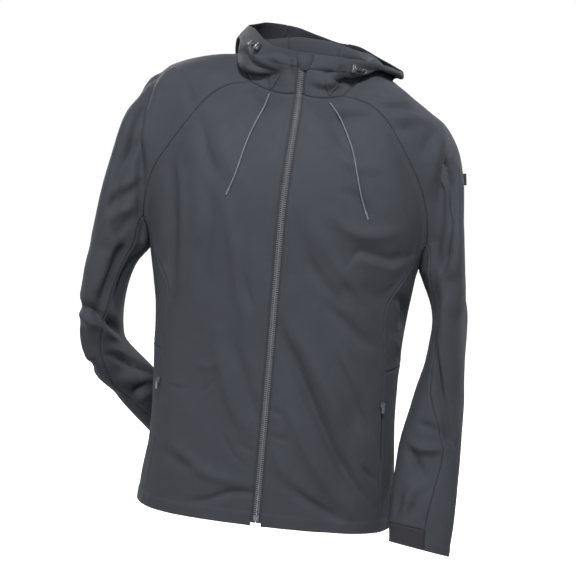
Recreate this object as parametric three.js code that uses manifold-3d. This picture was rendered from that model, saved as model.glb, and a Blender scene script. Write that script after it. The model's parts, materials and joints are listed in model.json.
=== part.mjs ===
// A hooded softshell jacket, worn by nobody: raglan sleeves, a full front zip, two zipped side pockets and
// a hood lying back. Millimetres, +Z up, the front faces -Y. The origin is between the neck sides, where
// the jacket hangs on its wearer. The wearer's left is +X. Every cloth piece is a wall cut from a smooth
// surface, and neighbouring pieces share the points of their seam.
import * as THREE from "three";
import { mergeVertices } from "three/addons/utils/BufferGeometryUtils.js";
import Module from "manifold-3d";

// Driving sizes.
const wall = 1.8;             // thickness of the softshell cloth
const seamGap = 0.3;          // between neighbouring pieces
const hem = -748;             // height of the bottom edge at the sides and back
const hemRise = 12;           // how much higher it hangs at the middle of the front
const square = 2.25;          // exponent of the torso's rounded-square rings
const neckCentre = 5;         // the neck hole leans this far to the wearer's left
const zipHalf = 8.3;          // half the gap that the main zip fills
const sleeveBand = 1.93;      // place down the sleeve where the elastic cuff band starts
const cordRadius = 1.2;

// How the pieces share their edges.
const frontCorner = { left: 42, right: 57 };  // neck angle at each front raglan seam
const backCorner = 140;       // neck angle at the back raglan seam
const sideCorner = 0.86;      // place on the armhole where the side seams meet it
const neckColumns = 4;
const armholeColumns = 8;
const sideColumns = 8;
const capColumns = 16;
const lowerRows = 11;
const upperRows = 9;
const torsoRows = lowerRows + upperRows;
const sleeveRows = 16;

// Torso rings by height: reach to the wearer's right and left, to the front and to the back.
const torso = table("z right left front back", [
  [-745, 218, 213, 142, 121],
  [-700, 214.5, 211, 141, 119],
  [-640, 207.5, 207, 140, 118],
  [-580, 207, 202, 140, 117],
  [-485, 210, 200, 140, 117],
  [-415, 212, 203, 142, 119],
  [-330, 224, 211.5, 147, 124],
  [-240, 236, 224, 149, 130],
  [-185, 232, 226, 143, 130],
  [-135, 222, 218, 130, 125],
  [-82, 208, 204, 108, 113],
  [-50, 194, 190, 97, 103],
  [-10, 180, 176, 92, 90],
  [10, 174, 170, 91, 84],
]);

// Angle of the curved front side seam, from the zip round towards the side, by height.
const frontSeam = table("z angle", [
  [-745, 63], [-650, 61], [-600, 62], [-526, 60], [-480, 59.5], [-425, 56], [-365, 54], [-320, 67], [-272, 78],
]);
const backSeam = table("z angle", [[-745, 122], [-480, 120], [-340, 112], [-272, 108]]);

// The armhole seam from the neck down the front (0) to the underarm (1) and up the back (2),
// with the direction in which the sleeve leaves it (sideways, away from the sleeve's middle, up) and how far
// that direction leads.
const armhole = table("at x y z leadX leadOut leadZ lead", [
  [0, 68, -70, -49, 0.1, -0.5, 0.85, 22],
  [0.14, 108, -78, -57, 0.2, -0.35, 0.9, 28],
  [0.28, 143, -80, -82, 0.55, -0.25, 0.8, 34],
  [0.45, 178, -76, -135, 0.8, -0.2, 0.5, 40],
  [0.62, 208, -66, -186, 0.9, 0.05, 0.4, 48],
  [0.78, 223, -50, -240, 0.8, 0.5, 0.25, 60],
  [0.92, 224, -25, -295, 0.45, 0.88, 0.1, 80],
  [1, 219.5, 5, -322, 0, 1, 0, 93],
  [1.08, 222, 38, -296, 0.45, 0.88, 0.1, 80],
  [1.22, 219, 66, -240, 0.8, 0.5, 0.25, 60],
  [1.38, 205, 84, -184, 0.9, 0.05, 0.4, 48],
  [1.55, 172, 95, -124, 0.8, -0.2, 0.5, 40],
  [1.72, 132, 96, -66, 0.55, -0.25, 0.8, 34],
  [1.86, 96, 88, -22, 0.3, -0.4, 0.85, 28],
  [2, 65, 69, 6, 0.1, -0.5, 0.85, 22],
]);

// The top and outer line of each sleeve, from the neck (0) past the underarm (1) to the cuff (2),
// with the half depth of the sleeve there.
const outerLine = {
  left: table("at x y z depth", [
    [0, 101, 0, -3, 20], [0.14, 156, 0, -31, 36], [0.28, 206, 0, -66, 46], [0.42, 240, 0, -89, 53],
    [0.52, 258, 0, -118, 56], [0.64, 270, 0, -160, 60], [0.78, 277, 0, -213, 64], [0.9, 285, 0, -275, 68],
    [1, 292, 0, -330, 70], [1.15, 299, 1, -396, 70], [1.28, 305, 1, -452, 66], [1.44, 309, -2, -520, 59],
    [1.6, 312, -20, -590, 50], [1.72, 313, -37, -644, 42], [1.86, 312, -57, -707, 34], [2, 309, -76, -770, 27],
  ]),
  right: table("at x y z depth", [
    [0, 101, 0, 4, 20], [0.14, 171, 2, -9, 36], [0.28, 225, 0, -29, 46], [0.4, 252, 0, -49, 52],
    [0.5, 267, 2, -82, 56], [0.62, 284, 4, -116, 60], [0.76, 305, 6, -183, 64], [0.9, 322, 8, -262, 68],
    [1, 334, 10, -334, 70], [1.12, 343, 12, -388, 70], [1.24, 348, 18, -436, 67], [1.36, 345, 28, -484, 60],
    [1.46, 334, 40, -524, 53], [1.56, 318, 55, -556, 49], [1.68, 293, 78, -594, 46], [1.8, 264, 106, -634, 42],
    [1.9, 239, 131, -668, 36], [2, 216, 154, -704, 28],
  ]),
};
// The inner line of each sleeve, from the underarm to the cuff.
const innerLine = {
  left: table("at x y z", [
    [1, 212.5, 5, -322], [1.15, 246, 10, -388], [1.28, 243, 7, -446], [1.44, 228, 0, -518],
    [1.6, 214, -20, -588], [1.72, 208, -38, -639], [1.86, 206, -58, -698], [2, 209, -76, -756],
  ]),
  right: table("at x y z", [
    [1, 226.5, 5, -322], [1.12, 258, 12, -362], [1.24, 273, 17, -420], [1.36, 277, 21, -468],
    [1.46, 273, 28, -500], [1.56, 260, 44, -517], [1.68, 240, 65, -535], [1.8, 215, 92, -567],
    [1.9, 191, 115, -597], [2, 167, 137, -628],
  ]),
};
// Where the seams between the outer and the under sleeve run, as a share of the way round from the inner line.
const sleeveSeams = table("at front back", [
  [1, 0.22, 0.28], [1.15, 0.2, 0.32], [1.28, 0.28, 0.34], [1.44, 0.36, 0.34], [1.52, 0.5, 0.34],
  [1.64, 0.7, 0.35], [1.76, 0.64, 0.36], [1.93, 0.56, 0.36], [2, 0.56, 0.36],
]);

// Folds pressed into the sleeves: a line from one place to another (down the sleeve, round it), its half
// width and its depth in millimetres. Round the sleeve, 0 is the inner line, 1 the outer line at the front.
const sleeveFolds = {
  left: table("at round at2 round2 width depth", [
    [0.46, 0.94, 0.62, 0.62, 17, 9], [0.62, 0.62, 0.9, 0.4, 19, 13], [0.9, 0.4, 1.12, 0.26, 18, 10],
    [1.58, 0.66, 1.36, 0.42, 15, 6], [1.6, 0.7, 1.78, 0.3, 16, 5],
  ]),
  right: table("at round at2 round2 width depth", [
    [0.32, 0.95, 0.47, 0.7, 16, 9], [0.47, 0.7, 0.68, 0.48, 18, 14], [0.68, 0.48, 1.02, 0.3, 20, 14],
    [1.27, 0.92, 1.42, 0.2, 15, 9], [1.48, 0.85, 1.56, 0.3, 15, 6], [1.66, 0.8, 1.72, 0.2, 15, 5],
  ]),
};
const sleeveLengthScale = 420;  // millimetres to one step down a sleeve
const sleeveRoundScale = 165;   // millimetres to one step round a sleeve

// Long soft folds in the torso: a line from one angle and height to another, half width, depth.
// Positive angles are on the wearer's left.
const torsoFolds = table("angle z angle2 z2 width depth", [
  [10, -330, 44, -560, 26, 5], [22, -300, 58, -420, 24, 4], [40, -560, 30, -720, 24, 4],
  [55, -362, 30, -350, 16, 5], [-20, -260, -34, -520, 28, 4], [-46, -180, -50, -380, 24, 4],
  [168, -300, 150, -560, 30, 4], [-165, -260, -150, -520, 30, 4],
]);

// The collar and hood round the neck, by angle from the front (0) past the wearer's left (90): distance from
// the neck's centre and height of the neck seam, the crest of the stand, the inner and outer guides of the
// pouch or roll, and the rim.
const hood = table("angle neckR neckZ crestR crestZ innerR innerZ outerR outerZ rimR rimZ", [
  [0, 95, -56, 95, -34, 94, -20, 93, -6, 92.5, 8.5],
  [25, 97, -57, 96, -34, 97, -22, 98, -8, 94, 6.5],
  [42, 94, -49, 88, -34, 94, -34, 108, -14, 98, 6],
  [58, 90, -33, 80, -15, 96, -26, 116, -16, 103, 4],
  [85, 96, -5, 100, 8, 118, -6, 136, -8, 127, -2],
  [105, 96, 3, 99, 14, 130, -6, 166, -24, 155, -4],
  [122, 94, 5, 97, 20, 132, 0, 176, -38, 134, 14],
  [137, 91, 7, 93, 28, 146, -60, 192, -75, 112, 31],
  [160, 88, 9, 86, 42, 146, -140, 208, -112, 104, 36],
  [180, 86, 10, 82, 46, 146, -155, 212, -118, 97, 46],
  [200, 88, 9, 84, 46, 146, -145, 208, -115, 94, 55],
  [228, 91, 7, 92, 34, 144, -34, 192, -62, 104, 58],
  [250, 95, 5, 96, 24, 124, 22, 150, 14, 103, 52],
  [270, 98, 3, 95, 16, 108, 14, 122, 24, 101, 47],
  [290, 95, -27, 85, -12, 100, -30, 130, -14, 91, 41],
  [308, 95, -41, 80, -26, 96, -38, 128, -18, 88, 27],
  [325, 91, -51, 86, -36, 92, -32, 106, -18, 92, 17],
  [342, 94, -55, 93, -34, 94, -22, 96, -8, 92, 12],
  [360, 95, -56, 95, -34, 94, -20, 93, -6, 92.5, 8.5],
]);
const crestWidth = 14;        // across the rolled crest of the stand
const hoodRows = 14;
const hoodSeams = [150, 210]; // angles of the two seams beside the hood's centre panel

// Colours of the materials.
const cloth = material(0x43454b, 0.85, 0);
const zipTape = material(0x55575c, 0.8, 0);
const zipChain = material(0x75777c, 0.5, 0);
const darkMetal = material(0x2c2d31, 0.35, 0.8);
const lightCord = material(0x6b6d72, 0.8, 0);
const darkCord = material(0x3a3b41, 0.8, 0);

const jacket = new THREE.Group();

function material(color, roughness, metalness) {
  return new THREE.MeshStandardMaterial({ color, roughness, metalness });
}

// A table with named columns, read by its first one.
function table(names, rows) {
  return { names: names.split(" "), rows };
}

// The smooth value of one column: a cubic through the rows, with each row's slope from its neighbours.
function read(source, name, at) {
  const k = source.names.indexOf(name);
  const rows = source.rows;
  const last = rows.length - 1;
  let i = 0;
  while (i < last - 1 && at > rows[i + 1][0]) i += 1;
  const slope = (j) => {
    const before = rows[Math.max(j - 1, 0)];
    const after = rows[Math.min(j + 1, last)];
    return (after[k] - before[k]) / (after[0] - before[0]);
  };
  const span = rows[i + 1][0] - rows[i][0];
  const f = Math.min(Math.max((at - rows[i][0]) / span, 0), 1);
  const g = 1 - f;
  return rows[i][k] * g * g * (1 + 2 * f) + rows[i + 1][k] * f * f * (1 + 2 * g)
    + slope(i) * span * f * g * g - slope(i + 1) * span * f * f * g;
}

function readPoint(source, at) {
  return new THREE.Vector3(...["x", "y", "z"].map((name) => read(source, name, at)));
}

function mix(a, b, f) {
  return a + (b - a) * f;
}

function smooth(f) {
  const c = Math.min(Math.max(f, 0), 1);
  return c * c * (3 - 2 * c);
}

function steps(from, to, count) {
  return Array.from({ length: count + 1 }, (_, i) => mix(from, to, i / count));
}

function bezier(a, b, c, d, f) {
  const g = 1 - f;
  return new THREE.Vector3()
    .addScaledVector(a, g * g * g)
    .addScaledVector(b, 3 * g * g * f)
    .addScaledVector(c, 3 * g * f * f)
    .addScaledVector(d, f * f * f);
}

// How deep a place lies in a list of folds, with both directions in millimetres.
function foldDepth(folds, a, b, scaleA, scaleB) {
  let depth = 0;
  for (const [a1, b1, a2, b2, width, deep] of folds.rows) {
    const alongA = (a2 - a1) * scaleA;
    const alongB = (b2 - b1) * scaleB;
    const fromA = (a - a1) * scaleA;
    const fromB = (b - b1) * scaleB;
    const share = (fromA * alongA + fromB * alongB) / (alongA * alongA + alongB * alongB);
    const f = Math.min(Math.max(share, 0), 1);
    const away = Math.hypot(fromA - alongA * f, fromB - alongB * f) / width;
    depth += deep * Math.exp(-away * away);
  }
  return depth;
}

// How far the main zip leans to the wearer's left at a height.
function zipLean(z) {
  return neckCentre * smooth((z + 250) / 190);
}

// A point on the torso: side is 1 on the wearer's left and -1 on the right, the angle runs from the
// front (0) past the side (90) to the back (180).
function ring(side, angle, z) {
  const reach = read(torso, side > 0 ? "left" : "right", z);
  const turn = THREE.MathUtils.degToRad(angle);
  const ahead = Math.cos(turn);
  const depth = read(torso, ahead > 0 ? "front" : "back", z);
  const across = Math.pow(Math.abs(Math.sin(turn)), 2 / square);
  const along = Math.pow(Math.abs(ahead), 2 / square);
  const inward = 1 - foldDepth(torsoFolds, side * angle, z, 3.3, 1) / 170;
  return new THREE.Vector3(side * reach * across * inward, -Math.sign(ahead) * depth * along * inward, z);
}

// The angle at which a point lies on the torso's rings.
function ringAngle(side, point) {
  const reach = read(torso, side > 0 ? "left" : "right", point.z);
  const depth = read(torso, point.y < 0 ? "front" : "back", point.z);
  const across = Math.pow(Math.max(side * point.x, 0) / reach, square / 2);
  const along = Math.pow(Math.abs(point.y) / depth, square / 2);
  return THREE.MathUtils.radToDeg(Math.atan2(across, point.y < 0 ? along : -along));
}

function neckPoint(angle) {
  const turn = THREE.MathUtils.degToRad(angle);
  const r = read(hood, "neckR", angle);
  return new THREE.Vector3(neckCentre + r * Math.sin(turn), -r * Math.cos(turn), read(hood, "neckZ", angle));
}

// The angle round the neck of a place on one side, counted from the front.
function neckAngle(side, angle) {
  return side > 0 ? angle : 360 - angle;
}

function frontCornerOf(side) {
  return side > 0 ? frontCorner.left : frontCorner.right;
}

function armholePoint(side, at) {
  const point = readPoint(armhole, at);
  point.x = side * point.x - 7 * smooth(-point.z / 240);
  const start = neckPoint(neckAngle(side, frontCornerOf(side)));
  const end = neckPoint(neckAngle(side, backCorner));
  const first = armhole.rows[0];
  const last = armhole.rows[armhole.rows.length - 1];
  const atStart = new THREE.Vector3(side * first[1], first[2], first[3]);
  const atEnd = new THREE.Vector3(side * last[1], last[2], last[3]);
  point.addScaledVector(start.sub(atStart), 1 - smooth(at / 0.4));
  point.addScaledVector(end.sub(atEnd), 1 - smooth((2 - at) / 0.4));
  return point;
}

// One vertical line of the torso's cloth, from the hem to a point of the neck or armhole seam.
function column(side, top, angleAt, z) {
  const topAngle = ringAngle(side, top);
  const sweep = smooth((z - top.z + 300) / 300);
  const pull = smooth((z - top.z + 110) / 110);
  const angle = angleAt(z) + (topAngle - angleAt(top.z)) * sweep;
  const offset = top.clone().sub(ring(side, topAngle, top.z));
  return ring(side, angle, z).addScaledVector(offset, pull);
}

function zipAngle(side, z) {
  const reach = read(torso, side > 0 ? "left" : "right", z);
  const edge = zipHalf + side * zipLean(z);
  return THREE.MathUtils.radToDeg(Math.asin(Math.pow(edge / reach, square / 2)));
}

function neckStart(side) {
  const edge = zipHalf + side * (zipLean(-56) - neckCentre);
  return THREE.MathUtils.radToDeg(Math.asin(edge / 95));
}

function hemAt(angle) {
  return hem + (angle < 90 ? hemRise * Math.cos(THREE.MathUtils.degToRad(angle)) ** 2 : 0);
}

// The front: across 0 at the zip, 1 at the neck corner, 2 at the side seam.
function frontPoint(side, across, up) {
  const top = across < 1
    ? neckPoint(neckAngle(side, mix(neckStart(side), frontCornerOf(side), across)))
    : armholePoint(side, sideCorner * (across - 1));
  const share = across < 1 ? across / 3 : 1 / 3 + (across - 1) * 2 / 3;
  const angleAt = (z) => mix(zipAngle(side, z), read(frontSeam, "angle", z), share);
  return column(side, top, angleAt, mix(hemAt(angleAt(hem)), top.z, up));
}

// The side: across 0 at the front side seam, 1 at the back one; up 0 to 1 below the cross seam, 1 to 2 above.
function sidePoint(side, across, up) {
  const top = armholePoint(side, mix(sideCorner, 2 - sideCorner, across));
  const crossShare = lowerRows / torsoRows;
  const hemFront = hemAt(read(frontSeam, "angle", hem));
  const crossFront = mix(hemFront, armholePoint(side, sideCorner).z, crossShare);
  const crossBack = mix(hem, armholePoint(side, 2 - sideCorner).z, crossShare);
  const cross = mix(crossFront, crossBack, across) + 8 * Math.sin(Math.PI * across);
  const angleAt = (z) => mix(read(frontSeam, "angle", z), read(backSeam, "angle", z), across);
  const z = up < 1 ? mix(hemAt(angleAt(hem)), cross, up) : mix(cross, top.z, up - 1);
  return column(side, top, angleAt, z);
}

// Half of the back: across 0 at the middle, 1 at the neck corner, 2 at the side seam.
function backPoint(side, across, up) {
  const top = across < 1
    ? neckPoint(neckAngle(side, mix(180, backCorner, across)))
    : armholePoint(side, 2 - sideCorner * (across - 1));
  if (across === 0) top.x = 0;
  const share = across < 1 ? across / 3 : 1 / 3 + (across - 1) * 2 / 3;
  const angleAt = (z) => mix(180, read(backSeam, "angle", z), share);
  return column(side, top, angleAt, mix(hem, top.z, up));
}

// The way in which the sleeve leaves a place of the armhole, and how far.
function sleeveLead(side, place, front) {
  const out = read(armhole, "leadOut", place) * (front ? -1 : 1);
  const lead = new THREE.Vector3(side * read(armhole, "leadX", place), out, read(armhole, "leadZ", place));
  return lead.normalize().multiplyScalar(read(armhole, "lead", place));
}

// A sleeve: at runs from the neck (0) past the underarm (1) to the cuff (2); round runs from the front seam
// or the inner line (0) over the outer line (1) to the back seam or the inner line again (2).
function sleevePoint(side, at, round) {
  const name = side > 0 ? "left" : "right";
  const outer = readPoint(outerLine[name], at);
  outer.x *= side;
  const depth = read(outerLine[name], "depth", at) * 4 / 3;
  const front = round <= 1;
  const share = front ? round : 2 - round;
  let point;
  if (at < 1) {
    const place = front ? at : 2 - at;
    const start = armholePoint(side, place);
    const forward = new THREE.Vector3(0, front ? -depth : depth, 0);
    point = bezier(start, sleeveLead(side, place, front).add(start), forward.add(outer), outer, share);
    const neck = neckPoint(neckAngle(side, mix(frontCornerOf(side), backCorner, round / 2)));
    if (at < 0.2) point.addScaledVector(neck.sub(capEdge(side, round)), 1 - smooth(at / 0.2));
  } else {
    const inner = readPoint(innerLine[name], at);
    inner.x *= side;
    const forward = sleeveForward(side, at).multiplyScalar(front ? depth : -depth);
    point = bezier(inner, forward.clone().add(inner), forward.add(outer), outer, share);
  }
  return point;
}

// The sleeve's own first section, which the neck seam replaces.
function capEdge(side, round) {
  const front = round <= 1;
  const place = front ? 0 : 2;
  const start = armholePoint(side, place);
  const name = side > 0 ? "left" : "right";
  const outer = readPoint(outerLine[name], 0);
  outer.x *= side;
  const depth = read(outerLine[name], "depth", 0) * 4 / 3;
  const forward = new THREE.Vector3(0, front ? -depth : depth, 0);
  const lead = sleeveLead(side, place, front);
  return bezier(start, lead.add(start), forward.add(outer), outer, front ? round : 2 - round);
}

// The direction of the sleeve's front at a section: square to its length and to its width.
function sleeveForward(side, at) {
  const name = side > 0 ? "left" : "right";
  const middle = (place) => {
    const point = readPoint(outerLine[name], place).add(readPoint(innerLine[name], place));
    return point.multiplyScalar(0.5);
  };
  const down = middle(Math.min(at + 0.05, 2)).sub(middle(Math.max(at - 0.05, 1)));
  const width = readPoint(outerLine[name], at).sub(readPoint(innerLine[name], at));
  down.x *= side;
  width.x *= side;
  const forward = down.cross(width).multiplyScalar(side).normalize();
  return forward.lerp(new THREE.Vector3(0, -1, 0), 1 - smooth((at - 1) / 0.15)).normalize();
}

// The sleeve's surface with its folds pressed in.
function foldedSleeve(side, at, round) {
  const name = side > 0 ? "left" : "right";
  const point = sleevePoint(side, at, round);
  const deep = foldDepth(sleeveFolds[name], at, round, sleeveLengthScale, sleeveRoundScale);
  if (deep < 0.02) return point;
  const step = 0.01;
  const a = Math.min(Math.max(at, step), 2 - step);
  const r = Math.min(Math.max(round, step), 2 - step);
  const down = sleevePoint(side, a + step, r).sub(sleevePoint(side, a - step, r));
  const turn = sleevePoint(side, a, r + step).sub(sleevePoint(side, a, r - step));
  const normal = down.cross(turn).normalize().multiplyScalar(side);
  const edge = smooth(Math.min(round, 2 - round) / 0.12);
  return point.addScaledVector(normal, -deep * (at < 1 ? edge : 1));
}

function seamShare(name, at) {
  const ramp = Math.min(Math.max((at - sideCorner) / (1 - sideCorner), 0), 1);
  return at < 1 ? read(sleeveSeams, name, 1) * ramp : read(sleeveSeams, name, at);
}

// The outer sleeve: across 0 at its front edge, 1 at its back edge.
function outerSleevePoint(side, at, across) {
  return foldedSleeve(side, at, mix(seamShare("front", at), 2 - seamShare("back", at), across));
}

// The under sleeve: across -1 at the front seam, 1 at the back seam; down 0 at the armhole, 1 at the cuff band,
// 2 at the cuff's edge.
function underSleevePoint(side, across, down) {
  const start = sideCorner + (1 - sideCorner) * (1 - Math.abs(across));
  const at = down < 1 ? mix(start, sleeveBand, down) : mix(sleeveBand, 2, down - 1);
  const name = across < 0 ? "front" : "back";
  const whole = seamShare(name, at);
  const share = at < 1
    ? Math.max(whole - (1 - Math.abs(across)) * read(sleeveSeams, name, 1), 0)
    : whole * Math.abs(across);
  return foldedSleeve(side, at, across < 0 ? share : 2 - share);
}

// The collar and hood: up runs from the neck seam (0) to the rim (1).
function hoodPoint(angle, up) {
  const guide = (name) => [read(hood, `${name}R`, angle), read(hood, `${name}Z`, angle)];
  const crest = guide("crest");
  const inner = guide("inner");
  const turned = Math.min(Math.max((crest[1] - inner[1]) / 30, 0), 1);
  const over = [crest[0] + crestWidth * turned, crest[1] + 8 * (1 - turned)];
  const [r, z] = splineAt([guide("neck"), crest, over, inner, guide("outer"), guide("rim")], up);
  const turn = THREE.MathUtils.degToRad(angle);
  return new THREE.Vector3(neckCentre + r * Math.sin(turn), -r * Math.cos(turn), z);
}

// A clamped cubic B-spline through the ends of six guides.
function splineAt(guides, f) {
  const knots = [0, 0, 0, 0, 1 / 3, 2 / 3, 1, 1, 1, 1];
  const k = Math.min(Math.floor(f * 3), 2) + 3;
  const d = [0, 1, 2, 3].map((j) => [...guides[j + k - 3]]);
  for (let r = 1; r <= 3; r += 1) {
    for (let j = 3; j >= r; j -= 1) {
      const low = knots[j + k - 3];
      const w = (f - low) / (knots[j + 1 + k - r] - low);
      d[j] = [mix(d[j - 1][0], d[j][0], w), mix(d[j - 1][1], d[j][1], w)];
    }
  }
  return d[3];
}

// The middle of the front, in the plane of the zip: up the torso and on up the collar.
const neckFront = -56;        // height of the neck seam at the middle of the front
const collarTall = 64.5;
function frontLine(z) {
  if (z < neckFront) {
    const p = frontPoint(1, 0, (z - hem) / (neckFront - hem));
    return new THREE.Vector3(zipLean(z), p.y, z);
  }
  const p = hoodPoint(0, (z - neckFront) / collarTall);
  return new THREE.Vector3(zipLean(p.z), p.y, p.z);
}

// A closed wall over a grid of a surface. The options give how far the wall is moved out, its thickness,
// whether each edge keeps the seam gap (low and high across, low and high along), how far the inner face is cut
// back at each edge, so that walls that meet at an angle stay apart, and whether the surface faces inwards.
function addWall(name, look, surface, us, vs, options = {}) {
  const { lift = 0, thick = wall, edges = [1, 1, 1, 1], bevels = [0, 0, 0, 0] } = options;
  const half = seamGap / 2;
  const uSpan = us[us.length - 1] - us[0];
  const vSpan = vs[vs.length - 1] - vs[0];
  const du = uSpan * 0.002;
  const dv = vSpan * 0.002;
  const inside = (value, list, step) => Math.min(Math.max(value, list[0] + step), list[list.length - 1] - step);
  const slopes = (u, v) => {
    const a = inside(u, us, du);
    const b = inside(v, vs, dv);
    const alongU = surface(a + du, b).sub(surface(a - du, b)).divideScalar(2 * du);
    const alongV = surface(a, b + dv).sub(surface(a, b - dv)).divideScalar(2 * dv);
    return [alongU, alongV];
  };
  const way = options.flip ? -1 : 1;
  const outward = [];
  const inward = [];
  us.forEach((u, i) => {
    vs.forEach((v, j) => {
      const [alongU, alongV] = slopes(u, v);
      const lean = alongU.clone().normalize().cross(alongV.clone().normalize()).length();
      const shifts = edges.map((edge, k) => {
        const length = (k < 2 ? alongU : alongV).length();
        return [edge * half / Math.max(lean, 0.1) / length, bevels[k] / Math.max(lean, 0.3) / length];
      });
      const normal = alongU.cross(alongV).normalize();
      const at = (bevel) => {
        const off = shifts.map(([gap, cut]) => gap + bevel * cut);
        const a = u + (i === 0 ? off[0] : 0) - (i === us.length - 1 ? off[1] : 0);
        const b = v + (j === 0 ? off[2] : 0) - (j === vs.length - 1 ? off[3] : 0);
        return surface(a, b);
      };
      outward.push(at(0).addScaledVector(normal, way * lift));
      inward.push(at(1).addScaledVector(normal, way * (lift - thick)));
    });
  });
  addClosed(name, look, outward, inward, us.length, vs.length);
}

// Two grids of points joined round their edges into one closed mesh.
function addClosed(name, look, outward, inward, nu, nv) {
  const index = [];
  const count = nu * nv;
  const quad = (a, b, c, d) => index.push(a, b, c, a, c, d);
  for (let i = 0; i < nu - 1; i += 1) {
    for (let j = 0; j < nv - 1; j += 1) {
      const a = i * nv + j;
      const b = a + nv;
      quad(a, b, b + 1, a + 1);
      quad(count + a, count + a + 1, count + b + 1, count + b);
    }
  }
  for (let i = 0; i < nu - 1; i += 1) {
    const low = i * nv;
    const high = low + nv - 1;
    quad(low, low + count, low + nv + count, low + nv);
    quad(high, high + nv, high + nv + count, high + count);
  }
  for (let j = 0; j < nv - 1; j += 1) {
    const far = (nu - 1) * nv + j;
    quad(j, j + 1, j + 1 + count, j + count);
    quad(far, far + count, far + 1 + count, far + 1);
  }
  const points = [...outward, ...inward];
  let volume = 0;
  for (let k = 0; k < index.length; k += 3) {
    const [a, b, c] = [points[index[k]], points[index[k + 1]], points[index[k + 2]]];
    volume += a.dot(b.clone().cross(c));
  }
  if (volume < 0) index.reverse();
  const geometry = new THREE.BufferGeometry().setFromPoints(points);
  geometry.setIndex(index);
  geometry.computeVertexNormals();
  addMesh(name, look, geometry);
}

function addMesh(name, look, geometry, parent = jacket) {
  const mesh = new THREE.Mesh(geometry, look);
  mesh.name = name;
  parent.add(mesh);
  return mesh;
}

const frontColumns = [...steps(0, 1, neckColumns), ...steps(1, 2, armholeColumns).slice(1)];
const allRows = [...steps(0, 1, lowerRows), ...steps(1, 2, upperRows).slice(1)];
const evenRows = steps(0, 1, torsoRows);
const free = 0;               // an edge with no neighbour keeps its full reach
const miter = 1;              // how far an inner face is cut back where two walls meet at an angle
const topBevel = [0, 0, 0, miter];

// The torso's pieces.
for (const [side, name] of [[1, "left"], [-1, "right"]]) {
  const front = (u, v) => frontPoint(side, u, v);
  const hemmed = { flip: side < 0, edges: [1, 1, free, 1] };
  addWall(`front_${name}`, cloth, front, frontColumns, evenRows, { ...hemmed, bevels: topBevel });
  const sideWall = (u, v) => sidePoint(side, u, v);
  const lower = allRows.slice(0, lowerRows + 1);
  const upper = allRows.slice(lowerRows);
  const sides = steps(0, 1, sideColumns);
  addWall(`side_${name}_lower`, cloth, sideWall, sides, lower, hemmed);
  addWall(`side_${name}_upper`, cloth, sideWall, sides, upper, { flip: side < 0, bevels: topBevel });
}
const backColumns = [...frontColumns.map((u) => -u).reverse(), ...frontColumns.slice(1)];
const back = (u, v) => backPoint(u < 0 ? -1 : 1, Math.abs(u), v);
addWall("back", cloth, back, backColumns, evenRows, { flip: true, edges: [1, 1, free, 1], bevels: topBevel });

// The sleeves.
const capRows = steps(0, sideCorner, armholeColumns);
const armRows = steps(sideCorner, sleeveBand, sleeveRows);
for (const [side, name] of [[1, "left"], [-1, "right"]]) {
  const outer = (u, v) => outerSleevePoint(side, u, v);
  const rows = [...capRows, ...armRows.slice(1), 2];
  const round = steps(0, 1, capColumns);
  const look = { flip: side < 0, edges: [1, free, 1, 1], bevels: [miter, 0, miter, miter] };
  addWall(`sleeve_${name}_outer`, cloth, outer, rows, round, look);
  const under = (u, v) => underSleevePoint(side, u, v);
  const across = steps(-1, 1, sideColumns);
  const seams = { flip: side < 0, bevels: [miter, miter, miter, 0] };
  addWall(`sleeve_${name}_under`, cloth, under, across, steps(0, 1, sleeveRows), seams);
  addWall(`cuff_${name}_band`, cloth, under, across, [1, 2], { ...seams, edges: [1, 1, 1, free] });
}

// The collar and hood: its columns meet those of the fronts, the sleeves and the back.
const hoodColumns = [
  ...steps(neckStart(1), frontCorner.left, neckColumns),
  ...steps(frontCorner.left, backCorner, capColumns).slice(1),
  ...steps(backCorner, 360 - backCorner, neckColumns * 2).slice(1),
  ...steps(360 - backCorner, 360 - frontCorner.right, capColumns).slice(1),
  ...steps(360 - frontCorner.right, 360 - neckStart(-1), neckColumns).slice(1),
];
const hoodPieces = [
  ["hood_left", 0, hoodSeams[0]],
  ["hood_centre", hoodSeams[0], hoodSeams[1]],
  ["hood_right", hoodSeams[1], 360],
];
for (const [name, from, to] of hoodPieces) {
  const columns = hoodColumns.filter((angle) => angle > from - 0.01 && angle < to + 0.01);
  const rimmed = { edges: [1, 1, 1, free], bevels: [0, 0, miter, 0] };
  addWall(name, cloth, hoodPoint, columns, steps(0, 1, hoodRows), rimmed);
}

// A grid surface from the middle of the front: u is the reach to the side, v runs up the torso (0 to 1) and the
// collar (1 to 2).
const zipFoot = hem + hemRise + 0.5;
const zipTop = 0.97;
const frontDepth = (u, v) => {
  const line = v < 1 ? frontLine(mix(zipFoot, neckFront, v)) : frontLine(neckFront + collarTall * (v - 1));
  return new THREE.Vector3(line.x + u, line.y, line.z);
};
const zipRows = [...steps(0, 1, 22), ...steps(1, 1 + zipTop, 4).slice(1)];
const tapeLook = { lift: -0.5, thick: 1, edges: [free, free, free, free] };
addWall("main_zip_tape_right", zipTape, frontDepth, [-7.9, -2.9], zipRows, tapeLook);
addWall("main_zip_tape_left", zipTape, frontDepth, [2.9, 7.9], zipRows, tapeLook);
addWall("main_zip_chain", zipChain, frontDepth, [-2.6, 2.6], zipRows, { ...tapeLook, lift: 0.6, thick: 2.4 });

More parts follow.
